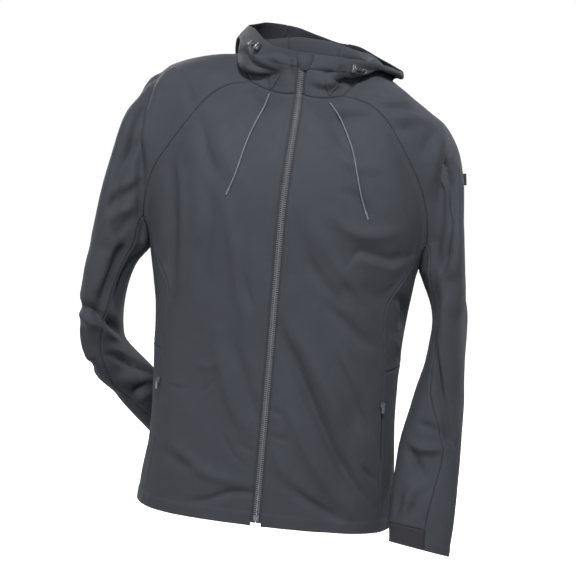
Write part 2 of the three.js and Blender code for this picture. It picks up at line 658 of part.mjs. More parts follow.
// The chin guard over the top of the zip: a flap with a straight edge on the wearer's left and a round one on
// the right, domed over the slider.
const guardTop = 8;
const guardFoot = -19.5;
const guardPoint = (u, v) => {
  const z = mix(guardTop, guardFoot, v);
  const right = -4 + 17 * (1 - Math.sqrt(1 - v * v));
  const left = 22 - 8 * v * v;
  const x = mix(right, left, u);
  const dome = 2.3 + 5.2 * Math.pow(Math.sin(Math.PI * u), 0.6) * (1 - v ** 3);
  const curve = (x - neckCentre) ** 2 / 190;
  return new THREE.Vector3(x, frontLine(z).y + curve - dome, z);
};
const guardLook = { thick: 1.2, flip: true, edges: [free, free, free, free] };
addWall("chin_guard", cloth, guardPoint, steps(0, 1, 10), steps(0, 0.96, 6), guardLook);

// The main slider under the guard, with its tab hanging flat in front of it.
const sliderShape = new THREE.Shape([
  new THREE.Vector2(0, -5), new THREE.Vector2(1.9, -5), new THREE.Vector2(1.9, -9), new THREE.Vector2(2.8, -9),
  new THREE.Vector2(2.8, 1), new THREE.Vector2(2, 4), new THREE.Vector2(0, 4),
]);
const mainSlider = new THREE.ExtrudeGeometry(sliderShape, { depth: 5.6, bevelEnabled: false });
mainSlider.translate(0, 0, -2.8);
const sliderHeight = 1.5;
const sliderMesh = addMesh("main_zip_slider", darkMetal, mainSlider);
const sliderSeat = frontLine(sliderHeight);
const outOfZip = new THREE.Vector3(0, -1, 0);
const alongZip = new THREE.Vector3(0, 0, 1);
const acrossZip = outOfZip.clone().cross(alongZip);
const sliderTurn = new THREE.Matrix4().makeBasis(outOfZip, alongZip, acrossZip);
sliderMesh.applyMatrix4(sliderTurn.setPosition(neckCentre, sliderSeat.y - 1.1, sliderHeight));

// A solid joined from several geometries.
const wasm = await Module();
wasm.setup();
function joined(geometries) {
  const solids = geometries.map((geometry) => {
    const plain = new THREE.BufferGeometry().setAttribute("position", geometry.toNonIndexed().attributes.position);
    const merged = mergeVertices(plain, 1e-4);
    return new wasm.Manifold(new wasm.Mesh({
      numProp: 3,
      vertProperties: merged.attributes.position.array,
      triVerts: new Uint32Array(merged.index.array),
    }));
  });
  const mesh = solids.reduce((a, b) => a.add(b)).getMesh();
  const geometry = new THREE.BufferGeometry();
  geometry.setAttribute("position", new THREE.BufferAttribute(new Float32Array(mesh.vertProperties), 3));
  geometry.setIndex(Array.from(mesh.triVerts));
  geometry.computeVertexNormals();
  return geometry;
}

// The side pockets: a closed zip along the front side seam, with a slider at its top end and a pull tab that
// swings on the slider's bridge.
const pocketTop = -526;
const pocketFoot = -628;
const zipSeat = 0.3;
const coilThick = 1.2;
const bodyThick = 2.2;
const axleHeight = zipSeat + coilThick + zipSeat + bodyThick + 1.6;
const tabLength = 15;
for (const [side, name] of [[1, "left"], [-1, "right"]]) {
  const top = armholePoint(side, sideCorner);
  const seamAt = (turned, z) => column(side, top, (h) => read(frontSeam, "angle", h) + turned, z);
  const coil = { lift: zipSeat + coilThick, thick: coilThick, flip: side < 0, edges: [free, free, free, free] };
  addWall(`pocket_${name}_zip`, darkCord, seamAt, [-0.9, 0.9], steps(pocketFoot, pocketTop, 8), coil);
  const height = pocketTop - 6;
  const foot = seamAt(0, height);
  const up = seamAt(0, height + 4).sub(seamAt(0, height - 4)).normalize();
  const across = seamAt(1, height).sub(seamAt(-1, height)).multiplyScalar(side).normalize();
  const inward = up.clone().cross(across).normalize();
  const level = inward.clone().cross(up);
  inward.copy(up).cross(level);
  const seat = new THREE.Group();
  seat.applyMatrix4(new THREE.Matrix4().makeBasis(level, inward, up).setPosition(foot));
  jacket.add(seat);
  const body = new THREE.BoxGeometry(6.4, bodyThick, 9).translate(0, -(zipSeat * 2 + coilThick + bodyThick / 2), 0);
  const bridge = new THREE.BoxGeometry(1.6, 3.4, 3).translate(0, -axleHeight + 0.4, 0);
  addMesh(`pocket_${name}_slider`, darkMetal, joined([body, bridge]), seat);
  const fork = new THREE.Shape();
  fork.moveTo(1.15, 1.3).lineTo(1.15, -2.8).lineTo(-1.15, -2.8).lineTo(-1.15, 1.3).lineTo(-2.5, 1.3);
  fork.lineTo(-2.5, 2.2 - tabLength).quadraticCurveTo(-2.3, -tabLength, 0, -tabLength);
  fork.quadraticCurveTo(2.3, -tabLength, 2.5, 2.2 - tabLength).lineTo(2.5, 1.3);
  const tab = new THREE.ExtrudeGeometry(fork, { depth: 1.2, bevelEnabled: false, curveSegments: 4 });
  tab.translate(0, 0, -0.6).rotateX(Math.PI / 2);
  const pull = addMesh(`pocket_${name}_pull`, darkMetal, tab, seat);
  pull.position.set(0, -axleHeight, 0);
}

// A tube along a route of hand-placed points.
function addCord(name, look, route, radius) {
  const curve = new THREE.CatmullRomCurve3(route, false, "centripetal");
  const section = new THREE.Shape().absarc(0, 0, radius, 0, Math.PI * 2);
  const options = { extrudePath: curve, steps: Math.round(route.length * 1.6), bevelEnabled: false, curveSegments: 5 };
  addMesh(name, look, new THREE.ExtrudeGeometry(section, options));
}

// The place on the front's facets seen from straight ahead at x and z, moved out from the cloth.
function onFront(x, z, lift) {
  const side = x < 0 ? -1 : 1;
  const step = 0.01;
  const upAt = (across) => {
    const foot = frontPoint(side, across, 0).z;
    const head = frontPoint(side, across, 1).z;
    return Math.min((z - foot) / (head - foot), 1 - step);
  };
  let low = 0;
  let high = 2;
  for (let i = 0; i < 30; i += 1) {
    const across = (low + high) / 2;
    if (Math.abs(frontPoint(side, across, upAt(across)).x) < Math.abs(x)) low = across;
    else high = across;
  }
  const up = upAt(low);
  const cell = (list, value) => Math.max(list.findIndex((edge) => edge > value), 1);
  const i = cell(frontColumns, low);
  const j = cell(evenRows, up);
  const fu = (low - frontColumns[i - 1]) / (frontColumns[i] - frontColumns[i - 1]);
  const fv = (up - evenRows[j - 1]) / (evenRows[j] - evenRows[j - 1]);
  const corner = (k, l) => frontPoint(side, frontColumns[k], evenRows[l]);
  const flat = corner(i - 1, j - 1).lerp(corner(i, j - 1), fu).lerp(corner(i - 1, j).lerp(corner(i, j), fu), fv);
  const sideways = frontPoint(side, low + step, up).sub(frontPoint(side, low - step, up)).multiplyScalar(side);
  const upwards = frontPoint(side, low, up + step).sub(frontPoint(side, low, up - step));
  return flat.addScaledVector(sideways.cross(upwards).normalize(), lift);
}

// The drawcords hang from small loops at the neck seam and end free, each in a short tip.
const cordRoutes = {
  right: [[-42, -60], [-47, -79], [-61, -117], [-70, -152], [-77, -185], [-85, -208]],
  left: [[53, -66], [67, -82], [85, -111], [100, -142], [110, -178], [120, -212], [126, -226]],
};
const tipRoutes = {
  right: [[-85.3, -208.8], [-89.5, -219.5]],
  left: [[126.2, -226.9], [129, -238]],
};
const cordLift = cordRadius + 0.9;
function layOnFront(route, spans) {
  const line = new THREE.SplineCurve(route.map(([x, z]) => new THREE.Vector2(x, z)));
  return line.getPoints(spans).map((place) => onFront(place.x, place.y, cordLift));
}
for (const name of ["right", "left"]) {
  addCord(`drawcord_${name}`, lightCord, layOnFront(cordRoutes[name], 16), cordRadius);
  addCord(`drawcord_${name}_tip`, zipChain, layOnFront(tipRoutes[name], 2), cordRadius + 0.4);
}

// A place on the hood, moved out from its outer face.
function onHood(angle, up, lift) {
  const step = 0.01;
  const turned = hoodPoint(angle + 1, up).sub(hoodPoint(angle - 1, up));
  const raised = hoodPoint(angle, Math.min(up + step, 1)).sub(hoodPoint(angle, Math.max(up - step, 0)));
  const out = turned.clone().cross(raised).normalize();
  return { point: hoodPoint(angle, up).addScaledVector(out, lift), out, raised: raised.normalize() };
}

// The loops that hold the drawcords: a thin cord down to the neck seam and up again.
const loopRadius = 0.9;
const loopRoutes = {
  right: [[319, 0.2], [323, 0.12], [327.5, 0.05], [330, 0.02], [332.5, 0.05], [336, 0.14], [338, 0.24]],
  left: [[38, 0.2], [35, 0.12], [31.5, 0.05], [29, 0.02], [27, 0.05], [24, 0.14], [22, 0.24]],
};
for (const name of ["right", "left"]) {
  const route = loopRoutes[name].map(([angle, up]) => onHood(angle, up, loopRadius + 0.8).point);
  addCord(`cord_loop_${name}`, darkCord, route, loopRadius);
}

// An eyelet in the rim's hem and a barrel lock below it, joined by a stretch of the rim's cord.
const rimFittings = {
  right: { eyelet: [299, 0.96], eyeletLift: 0.7, lock: [314, 0.96], lockLift: -0.3 },
  left: { eyelet: [60, 0.9], eyeletLift: 1.5, lock: [47, 0.9], lockLift: 0 },
};
const lockRadius = 4.6;
for (const name of ["right", "left"]) {
  const { eyelet, eyeletLift, lock, lockLift } = rimFittings[name];
  const ringSeat = onHood(...eyelet, eyeletLift);
  const eyeletMesh = addMesh(`eyelet_${name}`, darkMetal, new THREE.TorusGeometry(3.6, 1.1, 6, 14));
  eyeletMesh.position.copy(ringSeat.point);
  eyeletMesh.quaternion.setFromUnitVectors(new THREE.Vector3(0, 0, 1), ringSeat.out);
  const lockSeat = onHood(...lock, lockRadius + lockLift);
  const lockMesh = addMesh(`cord_lock_${name}`, darkMetal, new THREE.CylinderGeometry(lockRadius, lockRadius, 13, 14));
  lockMesh.position.copy(lockSeat.point);
  lockMesh.quaternion.setFromUnitVectors(new THREE.Vector3(0, 1, 0), lockSeat.raised);
  const away = lockSeat.point.clone().sub(ringSeat.point).normalize();
  const start = ringSeat.point.clone().addScaledVector(ringSeat.out, 2.2);
  const end = lockSeat.point.clone().addScaledVector(away, -lockRadius - 2.6);
  const middle = start.clone().lerp(end, 0.5).addScaledVector(ringSeat.out, 1.5);
  addCord(`rim_cord_${name}`, darkCord, [start, middle, end], 1.1);
}

// A small bare tab sewn to the outer line of the left sleeve.
const tabPlace = 0.665;
const tabSize = { out: 5, thick: 1.2, tall: 19 };
const tabSeat = foldedSleeve(1, tabPlace, 1);
const sleeveTab = addMesh("sleeve_tab", cloth, new THREE.BoxGeometry(tabSize.out, tabSize.thick, tabSize.tall));
sleeveTab.position.copy(tabSeat).add(new THREE.Vector3(tabSize.out / 2 + 0.4, 0, 0));
sleeveTab.rotation.y = -0.13;

export default jacket;
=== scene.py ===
import json
import math
from functools import partial
import bpy
import numpy as np
from mathutils import Matrix, Vector

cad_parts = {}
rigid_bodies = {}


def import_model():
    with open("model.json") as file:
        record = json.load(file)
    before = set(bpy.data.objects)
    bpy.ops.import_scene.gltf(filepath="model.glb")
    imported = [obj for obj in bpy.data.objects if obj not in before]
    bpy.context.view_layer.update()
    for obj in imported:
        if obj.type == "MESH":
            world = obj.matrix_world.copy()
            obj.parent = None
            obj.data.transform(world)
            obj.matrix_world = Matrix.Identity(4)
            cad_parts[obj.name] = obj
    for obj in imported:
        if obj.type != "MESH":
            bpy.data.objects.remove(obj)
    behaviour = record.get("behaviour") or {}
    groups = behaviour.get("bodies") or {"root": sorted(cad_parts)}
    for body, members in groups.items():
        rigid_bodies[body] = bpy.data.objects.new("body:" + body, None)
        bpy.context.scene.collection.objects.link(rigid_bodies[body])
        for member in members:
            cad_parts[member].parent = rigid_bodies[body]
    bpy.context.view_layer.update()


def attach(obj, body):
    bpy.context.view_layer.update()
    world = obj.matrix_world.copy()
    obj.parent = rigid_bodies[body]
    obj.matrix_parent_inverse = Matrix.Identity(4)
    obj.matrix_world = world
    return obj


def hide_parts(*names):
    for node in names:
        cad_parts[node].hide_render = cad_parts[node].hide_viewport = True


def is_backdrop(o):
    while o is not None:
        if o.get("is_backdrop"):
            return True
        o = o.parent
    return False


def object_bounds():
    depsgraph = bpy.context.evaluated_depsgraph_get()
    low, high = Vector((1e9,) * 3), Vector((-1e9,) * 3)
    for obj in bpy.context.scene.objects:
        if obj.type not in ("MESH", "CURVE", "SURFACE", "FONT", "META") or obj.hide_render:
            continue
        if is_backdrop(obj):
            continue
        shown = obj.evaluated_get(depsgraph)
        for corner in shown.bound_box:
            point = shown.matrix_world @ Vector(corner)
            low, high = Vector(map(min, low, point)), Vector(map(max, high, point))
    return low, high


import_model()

# A hooded softshell jacket, filled out as worn. The shape is worked out in millimetres from the CAD's sizes:
# every panel is a grid of its surface, the grids are sewn together, eased over their seams, pressed with folds
# and cut apart again. Places are (x, y, z) with x to the wearer's left and -y ahead.

mm = 0.001

view = {"yaw": 6, "pitch": 8, "roll": 5, "distance": 2200, "mmPerPixel": 1.65, "photoPixels": 576,
        "target": (4, 0, -372)}

cut = {
    "hem": -748, "hemRise": 12,           # bottom edge, and how much higher it hangs at the front
    "square": 2.25,                       # roundness of the torso's rings
    "neckCentre": 5,                      # the neck hole leans this far to the wearer's left
    "zipHalf": 8.3,                       # half the gap that the zip fills
    "bandPlace": 1.93,                    # where the elastic cuff band starts
    "leftCorner": 42, "rightCorner": 57,  # neck angles at the front raglan seams
    "backCorner": 140,
    "sideCorner": 0.86,                   # where the side seams meet the armhole
    "crossShare": 11 / 20,                # height of the cross seam in the sides
    "crestWidth": 14, "hoodSeams": (150, 210),
}


class Table:
    # rows with named columns, read smoothly by the first one
    def __init__(self, names, rows):
        self.names = names.split()
        self.rows = np.array(rows, float)
        at = self.rows[:, 0]
        index = np.arange(len(at))
        before = np.maximum(index - 1, 0)
        after = np.minimum(index + 1, len(at) - 1)
        self.slopes = (self.rows[after] - self.rows[before]) / (at[after] - at[before])[:, None]

    def read(self, name, at):
        k = self.names.index(name)
        x, y, slope = self.rows[:, 0], self.rows[:, k], self.slopes[:, k]
        at = np.asarray(at, float)
        i = np.clip(np.searchsorted(x, at) - 1, 0, len(x) - 2)
        span = x[i + 1] - x[i]
        f = np.clip((at - x[i]) / span, 0, 1)
        g = 1 - f
        return (y[i] * g * g * (1 + 2 * f) + y[i + 1] * f * f * (1 + 2 * g)
                + slope[i] * span * f * g * g - slope[i + 1] * span * f * f * g)

    def point(self, at):
        return np.stack([self.read(name, at) for name in ("x", "y", "z")], -1)


torso = Table("z right left front back", [
    [-745, 218, 213, 142, 121], [-700, 214.5, 211, 141, 119], [-640, 207.5, 207, 140, 118],
    [-580, 207, 202, 140, 117], [-485, 210, 200, 140, 117], [-415, 212, 203, 142, 119],
    [-330, 224, 211.5, 147, 124], [-240, 236, 224, 149, 130], [-185, 232, 226, 143, 130],
    [-135, 222, 218, 130, 125], [-82, 208, 204, 108, 113], [-50, 194, 190, 97, 103],
    [-10, 180, 176, 92, 90], [10, 174, 170, 91, 84],
])
frontSeam = Table("z angle", [
    [-745, 63], [-650, 61], [-600, 62], [-526, 60], [-480, 59.5], [-425, 56], [-365, 54], [-320, 67],
    [-272, 78],
])
backSeam = Table("z angle", [[-745, 122], [-480, 120], [-340, 112], [-272, 108]])

# The armhole seam from the neck down the front (0) to the underarm (1) and up the back (2), and the way in
# which the sleeve leaves it.
armhole = Table("at x y z leadX leadOut leadZ lead", [
    [0, 68, -70, -49, 0.1, -0.5, 0.85, 22], [0.14, 108, -78, -57, 0.2, -0.35, 0.9, 28],
    [0.28, 143, -80, -82, 0.55, -0.25, 0.8, 34], [0.45, 178, -76, -135, 0.8, -0.2, 0.5, 40],
    [0.62, 208, -66, -186, 0.9, 0.05, 0.4, 48], [0.78, 223, -50, -240, 0.8, 0.5, 0.25, 60],
    [0.92, 224, -25, -295, 0.45, 0.88, 0.1, 80], [1, 219.5, 5, -322, 0, 1, 0, 93],
    [1.08, 222, 38, -296, 0.45, 0.88, 0.1, 80], [1.22, 219, 66, -240, 0.8, 0.5, 0.25, 60],
    [1.38, 205, 84, -184, 0.9, 0.05, 0.4, 48], [1.55, 172, 95, -124, 0.8, -0.2, 0.5, 40],
    [1.72, 132, 96, -66, 0.55, -0.25, 0.8, 34], [1.86, 96, 88, -22, 0.3, -0.4, 0.85, 28],
    [2, 65, 69, 6, 0.1, -0.5, 0.85, 22],
])

# Sleeves: the outer line from the neck (0) past the underarm (1) to the cuff (2), with half the sleeve's
# depth, and the inner line from the underarm on.
outerLine = {
    1: Table("at x y z depth", [
        [0, 101, 0, -3, 20], [0.14, 156, 0, -31, 36], [0.28, 206, 0, -66, 46], [0.42, 240, 0, -89, 53],
        [0.52, 258, 0, -118, 56], [0.64, 270, 0, -160, 60], [0.78, 277, 0, -213, 64], [0.9, 285, 0, -275, 68],
        [1, 292, 0, -330, 70], [1.15, 299, 1, -396, 70], [1.28, 305, 1, -452, 66], [1.44, 309, -2, -520, 59],
        [1.6, 312, -20, -590, 50], [1.72, 313, -37, -644, 42], [1.86, 312, -57, -707, 34],
        [2, 309, -76, -770, 27],
    ]),
    -1: Table("at x y z depth", [
        [0, 101, 0, 4, 20], [0.14, 171, 2, -9, 36], [0.28, 225, 0, -29, 46], [0.4, 252, 0, -49, 52],
        [0.5, 267, 2, -82, 56], [0.62, 284, 4, -116, 60], [0.76, 305, 6, -183, 64], [0.9, 322, 8, -262, 68],
        [1, 334, 10, -334, 70], [1.12, 343, 12, -388, 70], [1.24, 348, 18, -436, 67], [1.36, 345, 28, -484, 60],
        [1.46, 334, 40, -524, 53], [1.56, 318, 55, -556, 49], [1.68, 293, 78, -594, 46],
        [1.8, 264, 106, -634, 42], [1.9, 239, 131, -668, 36], [2, 216, 154, -704, 28],
    ]),
}
innerLine = {
    1: Table("at x y z", [
        [1, 212.5, 5, -322], [1.15, 246, 10, -388], [1.28, 243, 7, -446], [1.44, 228, 0, -518],
        [1.6, 214, -20, -588], [1.72, 208, -38, -639], [1.86, 206, -58, -698], [2, 209, -76, -756],
    ]),
    -1: Table("at x y z", [
        [1, 226.5, 5, -322], [1.12, 258, 12, -362], [1.24, 273, 17, -420], [1.36, 277, 21, -468],
        [1.46, 273, 28, -500], [1.56, 260, 44, -517], [1.68, 240, 65, -535], [1.8, 215, 92, -567],
        [1.9, 191, 115, -597], [2, 167, 137, -628],
    ]),
}
sleeveSeams = Table("at front back", [
    [1, 0.22, 0.28], [1.15, 0.2, 0.32], [1.28, 0.28, 0.34], [1.44, 0.36, 0.34], [1.52, 0.5, 0.34],
    [1.64, 0.7, 0.35], [1.76, 0.64, 0.36], [1.93, 0.56, 0.36], [2, 0.56, 0.36],
])

# Wide folds, as in the CAD: from one place to another, half width, depth.
sleeveFolds = {
    1: [[0.46, 0.94, 0.62, 0.62, 17, 9], [0.62, 0.62, 0.9, 0.4, 19, 13], [0.9, 0.4, 1.12, 0.26, 18, 10],
        [1.58, 0.66, 1.36, 0.42, 15, 6], [1.6, 0.7, 1.78, 0.3, 16, 5]],
    -1: [[0.32, 0.95, 0.47, 0.7, 16, 9], [0.47, 0.7, 0.68, 0.48, 18, 14], [0.68, 0.48, 1.02, 0.3, 20, 14],
         [1.27, 0.92, 1.42, 0.2, 15, 9], [1.48, 0.85, 1.56, 0.3, 15, 6], [1.66, 0.8, 1.72, 0.2, 15, 5]],
}
torsoFolds = [
    [10, -330, 44, -560, 26, 5], [22, -300, 58, -420, 24, 4], [40, -560, 30, -720, 24, 4],
    [55, -362, 30, -350, 16, 5], [-20, -260, -34, -520, 28, 4], [-46, -180, -50, -380, 24, 4],
    [168, -300, 150, -560, 30, 4], [-165, -260, -150, -520, 30, 4],
]

# The collar and hood round the neck, by angle from the front past the wearer's left.
hood = Table("angle neckR neckZ crestR crestZ innerR innerZ outerR outerZ rimR rimZ", [
    [0, 95, -56, 95, -34, 94, -20, 93, -6, 92.5, 8.5],
    [25, 97, -57, 96, -34, 97, -22, 98, -8, 94, 6.5],
    [42, 94, -49, 88, -34, 94, -34, 108, -14, 98, 6],
    [58, 90, -33, 80, -15, 96, -26, 116, -16, 103, 4],
    [85, 96, -5, 100, 8, 118, -6, 136, -8, 127, -2],
    [105, 96, 3, 99, 14, 130, -6, 166, -24, 155, -4],
    [122, 94, 5, 97, 20, 132, 0, 176, -38, 134, 14],
    [137, 91, 7, 93, 28, 146, -60, 192, -75, 112, 31],
    [160, 88, 9, 86, 42, 146, -140, 208, -112, 104, 36],
    [180, 86, 10, 82, 46, 146, -155, 212, -118, 97, 46],
    [200, 88, 9, 84, 46, 146, -145, 208, -115, 94, 55],
    [228, 91, 7, 92, 34, 144, -34, 192, -62, 104, 58],
    [250, 95, 5, 96, 24, 124, 22, 150, 14, 103, 52],
    [270, 98, 3, 95, 16, 108, 14, 122, 24, 101, 47],
    [290, 95, -27, 85, -12, 100, -30, 130, -14, 91, 41],
    [308, 95, -41, 80, -26, 96, -38, 128, -18, 88, 27],
    [325, 91, -51, 86, -36, 92, -32, 106, -18, 92, 17],
    [342, 94, -55, 93, -34, 94, -22, 96, -8, 92, 12],
    [360, 95, -56, 95, -34, 94, -20, 93, -6, 92.5, 8.5],
])


def mix(a, b, f):
    return a + (b - a) * f


def smooth(f):
    c = np.clip(f, 0, 1)
    return c * c * (3 - 2 * c)


def bump(distance, width):
    return np.exp(-(distance / width) ** 2)


def place(x, y, z):
    return np.stack(np.broadcast_arrays(x, y, z), -1).astype(float)


def unit(v):
    return v / np.maximum(np.linalg.norm(v, axis=-1, keepdims=True), 1e-9)


def bezier(a, b, c, d, f):
    f = np.asarray(f, float)[..., None]
    g = 1 - f
    return a * g ** 3 + b * (3 * g * g * f) + c * (3 * g * f * f) + d * f ** 3


def foldDepth(folds, a, b, scaleA, scaleB):
    depth = 0
    for a1, b1, a2, b2, width, deep in folds:
        alongA, alongB = (a2 - a1) * scaleA, (b2 - b1) * scaleB
        fromA, fromB = (a - a1) * scaleA, (b - b1) * scaleB
        f = np.clip((fromA * alongA + fromB * alongB) / (alongA ** 2 + alongB ** 2), 0, 1)
        depth = depth + deep * bump(np.hypot(fromA - alongA * f, fromB - alongB * f), width)
    return depth


def reach(side, z):
    return torso.read("left" if side > 0 else "right", z)


def ringPoint(side, angle, z):
    turn = np.radians(angle)
    ahead = np.cos(turn)
    depth = np.where(ahead > 0, torso.read("front", z), torso.read("back", z))
    across = np.abs(np.sin(turn)) ** (2 / cut["square"])
    along = np.abs(ahead) ** (2 / cut["square"])
    inward = 1 - foldDepth(torsoFolds, side * angle, z, 3.3, 1) / 170
    return place(side * reach(side, z) * across * inward, -np.sign(ahead) * depth * along * inward, z)


def ringAngle(side, point):
    x, y, z = point[..., 0], point[..., 1], point[..., 2]
    depth = np.where(y < 0, torso.read("front", z), torso.read("back", z))
    across = (np.maximum(side * x, 0) / reach(side, z)) ** (cut["square"] / 2)
    along = (np.abs(y) / depth) ** (cut["square"] / 2)
    return np.degrees(np.arctan2(across, np.where(y < 0, along, -along)))


def neckPoint(angle):
    turn = np.radians(angle)
    r = hood.read("neckR", angle)
    return place(cut["neckCentre"] + r * np.sin(turn), -r * np.cos(turn), hood.read("neckZ", angle))


def neckAngle(side, angle):
    return angle if side > 0 else 360 - angle


def cornerOf(side):
    return cut["leftCorner"] if side > 0 else cut["rightCorner"]


def armholePoint(side, at):
    at = np.asarray(at, float)
    point = armhole.point(at)
    point[..., 0] = side * point[..., 0] - 7 * smooth(-point[..., 2] / 240)
    for end, corner, away in ((0, cornerOf(side), at), (2, cut["backCorner"], 2 - at)):
        seat = armhole.point(end) * (side, 1, 1)
        seat[0] -= 7 * smooth(-seat[2] / 240)
        shift = neckPoint(neckAngle(side, corner)) - seat
        point = point + shift * (1 - smooth(away / 0.4))[..., None]
    return point


def column(side, top, angleAt, z):
    topZ = top[..., 2]
    topAngle = ringAngle(side, top)
    sweep = smooth((z - topZ + 300) / 300)
    pull = smooth((z - topZ + 110) / 110)
    angle = angleAt(z) + (topAngle - angleAt(topZ)) * sweep
    return ringPoint(side, angle, z) + (top - ringPoint(side, topAngle, topZ)) * pull[..., None]


def zipLean(z):
    return cut["neckCentre"] * smooth((z + 250) / 190)


def zipAngle(side, z):
    edge = cut["zipHalf"] + side * zipLean(z)
    return np.degrees(np.arcsin((edge / reach(side, z)) ** (cut["square"] / 2)))


def neckStart(side):
    edge = cut["zipHalf"] + side * (zipLean(-56) - cut["neckCentre"])
    return math.degrees(math.asin(edge / 95))


def hemAt(angle):
    return cut["hem"] + np.where(angle < 90, cut["hemRise"] * np.cos(np.radians(angle)) ** 2, 0)


def widePanel(side, across, up, corners, armholeAt, edges):
    # a panel from the zip or the middle of the back (0) past the neck's corner (1) to the side seam (2)
    share = np.where(across < 1, across / 3, 1 / 3 + (across - 1) * 2 / 3)
    start, way = armholeAt
    neck = neckPoint(neckAngle(side, mix(*corners, np.minimum(across, 1))))
    arm = armholePoint(side, start + way * cut["sideCorner"] * np.maximum(across - 1, 0))
    top = np.where((across < 1)[..., None], neck, arm)

    def angleAt(z):
        return mix(edges[0](z), edges[1](z), share)
    return column(side, top, angleAt, mix(hemAt(angleAt(cut["hem"])), top[..., 2], up))


def frontPoint(side, across, up):
    edges = partial(zipAngle, side), partial(frontSeam.read, "angle")
    return widePanel(side, across, up, (neckStart(side), cornerOf(side)), (0, 1), edges)


def sidePoint(side, across, up):
    corner = cut["sideCorner"]
    top = armholePoint(side, mix(corner, 2 - corner, across))
    hemFront = hemAt(frontSeam.read("angle", cut["hem"]))
    crossFront = mix(hemFront, armholePoint(side, corner)[2], cut["crossShare"])
    crossBack = mix(cut["hem"], armholePoint(side, 2 - corner)[2], cut["crossShare"])
    cross = mix(crossFront, crossBack, across) + 8 * np.sin(np.pi * across)

    def angleAt(z):
        return mix(frontSeam.read("angle", z), backSeam.read("angle", z), across)
    z = np.where(up < 1, mix(hemAt(angleAt(cut["hem"])), cross, up), mix(cross, top[..., 2], up - 1))
    return column(side, top, angleAt, z)


def backMiddle(z):
    return 180


def backHalf(side, across, up):
    edges = backMiddle, partial(backSeam.read, "angle")
    return widePanel(side, across, up, (180, cut["backCorner"]), (2, -1), edges)


def backPoint(across, up):
    right, left = (backHalf(side, np.abs(across), up) for side in (-1, 1))
    return np.where((across < 0)[..., None], right, left)


def mirrored(table, side, at):
    return table[side].point(at) * (side, 1, 1)


def sleeveLead(side, at, front):
    out = armhole.read("leadOut", at) * np.where(front, -1, 1)
    lead = place(side * armhole.read("leadX", at), out, armhole.read("leadZ", at))
    return unit(lead) * armhole.read("lead", at)[..., None]


def capSection(side, at, front, share):
    # the sleeve above the underarm, between its two edges on the armhole
    spot = np.where(front, at, 2 - at)
    start = armholePoint(side, spot)
    outer = mirrored(outerLine, side, at)
    depth = outerLine[side].read("depth", at) * 4 / 3
    forward = place(0, np.where(front, -depth, depth), 0)
    return bezier(start, start + sleeveLead(side, spot, front), outer + forward, outer, share)


def sleeveForward(side, at):
    def middle(spot):
        return (outerLine[side].point(spot) + innerLine[side].point(spot)) / 2
    down = middle(np.minimum(at + 0.05, 2)) - middle(np.maximum(at - 0.05, 1))
    width = outerLine[side].point(at) - innerLine[side].point(at)
    forward = unit(np.cross(down * (side, 1, 1), width * (side, 1, 1)) * side)
    f = smooth((at - 1) / 0.15)[..., None]
    return unit(place(0, -1, 0) * (1 - f) + forward * f)


def sleevePoint(side, at, turn):
    at, turn = np.broadcast_arrays(np.asarray(at, float), np.asarray(turn, float))
    front = turn <= 1
    share = np.where(front, turn, 2 - turn)
    high = np.minimum(at, 1)
    cap = capSection(side, high, front, share)
    neck = neckPoint(neckAngle(side, mix(cornerOf(side), cut["backCorner"], turn / 2)))
    first = capSection(side, np.zeros_like(at), front, share)
    cap = cap + (neck - first) * (1 - smooth(high / 0.2))[..., None]
    low = np.maximum(at, 1)
    inner, outer = mirrored(innerLine, side, low), mirrored(outerLine, side, low)
    depth = outerLine[side].read("depth", low) * 4 / 3 * np.where(front, 1, -1)
    forward = sleeveForward(side, low) * depth[..., None]
    tube = bezier(inner, inner + forward, outer + forward, outer, share)
    return np.where((at < 1)[..., None], cap, tube)


def foldedSleeve(side, at, turn):
    at, turn = np.broadcast_arrays(np.asarray(at, float), np.asarray(turn, float))
    deep = foldDepth(sleeveFolds[side], at, turn, 420, 165)
    step = 0.01
    a, r = np.clip(at, step, 2 - step), np.clip(turn, step, 2 - step)
    down = sleevePoint(side, a + step, r) - sleevePoint(side, a - step, r)
    round_ = sleevePoint(side, a, r + step) - sleevePoint(side, a, r - step)
    normal = unit(np.cross(down, round_)) * side
    edge = np.where(at < 1, smooth(np.minimum(turn, 2 - turn) / 0.12), 1)
    return sleevePoint(side, at, turn) - normal * (deep * edge)[..., None]


def seamShare(name, at):
    corner = cut["sideCorner"]
    ramp = np.clip((at - corner) / (1 - corner), 0, 1)
    return np.where(at < 1, sleeveSeams.read(name, 1) * ramp, sleeveSeams.read(name, at))


def outerSleeve(side, at, across):
    return foldedSleeve(side, at, mix(seamShare("front", at), 2 - seamShare("back", at), across))


def underSleeve(side, across, down):
    corner, band = cut["sideCorner"], cut["bandPlace"]
    start = corner + (1 - corner) * (1 - np.abs(across))
    at = np.where(down < 1, mix(start, band, np.minimum(down, 1)), mix(band, 2, np.maximum(down - 1, 0)))
    front = across < 0
    whole = np.where(front, seamShare("front", at), seamShare("back", at))
    atOne = np.where(front, sleeveSeams.read("front", 1), sleeveSeams.read("back", 1))
    share = np.where(at < 1, np.maximum(whole - (1 - np.abs(across)) * atOne, 0), whole * np.abs(across))
    return foldedSleeve(side, at, np.where(front, share, 2 - share))


def hoodPoint(angle, up):
    angle, up = np.broadcast_arrays(np.asarray(angle, float), np.asarray(up, float))
    guides = {name: [hood.read(name + "R", angle), hood.read(name + "Z", angle)]
              for name in ("neck", "crest", "inner", "outer", "rim")}
    crest, inner = guides["crest"], guides["inner"]
    turned = np.clip((crest[1] - inner[1]) / 30, 0, 1)
    over = [crest[0] + cut["crestWidth"] * turned, crest[1] + 8 * (1 - turned)]
    r, z = splineAt([guides["neck"], crest, over, inner, guides["outer"], guides["rim"]], up)
    turn = np.radians(angle)
    return place(cut["neckCentre"] + r * np.sin(turn), -r * np.cos(turn), z)


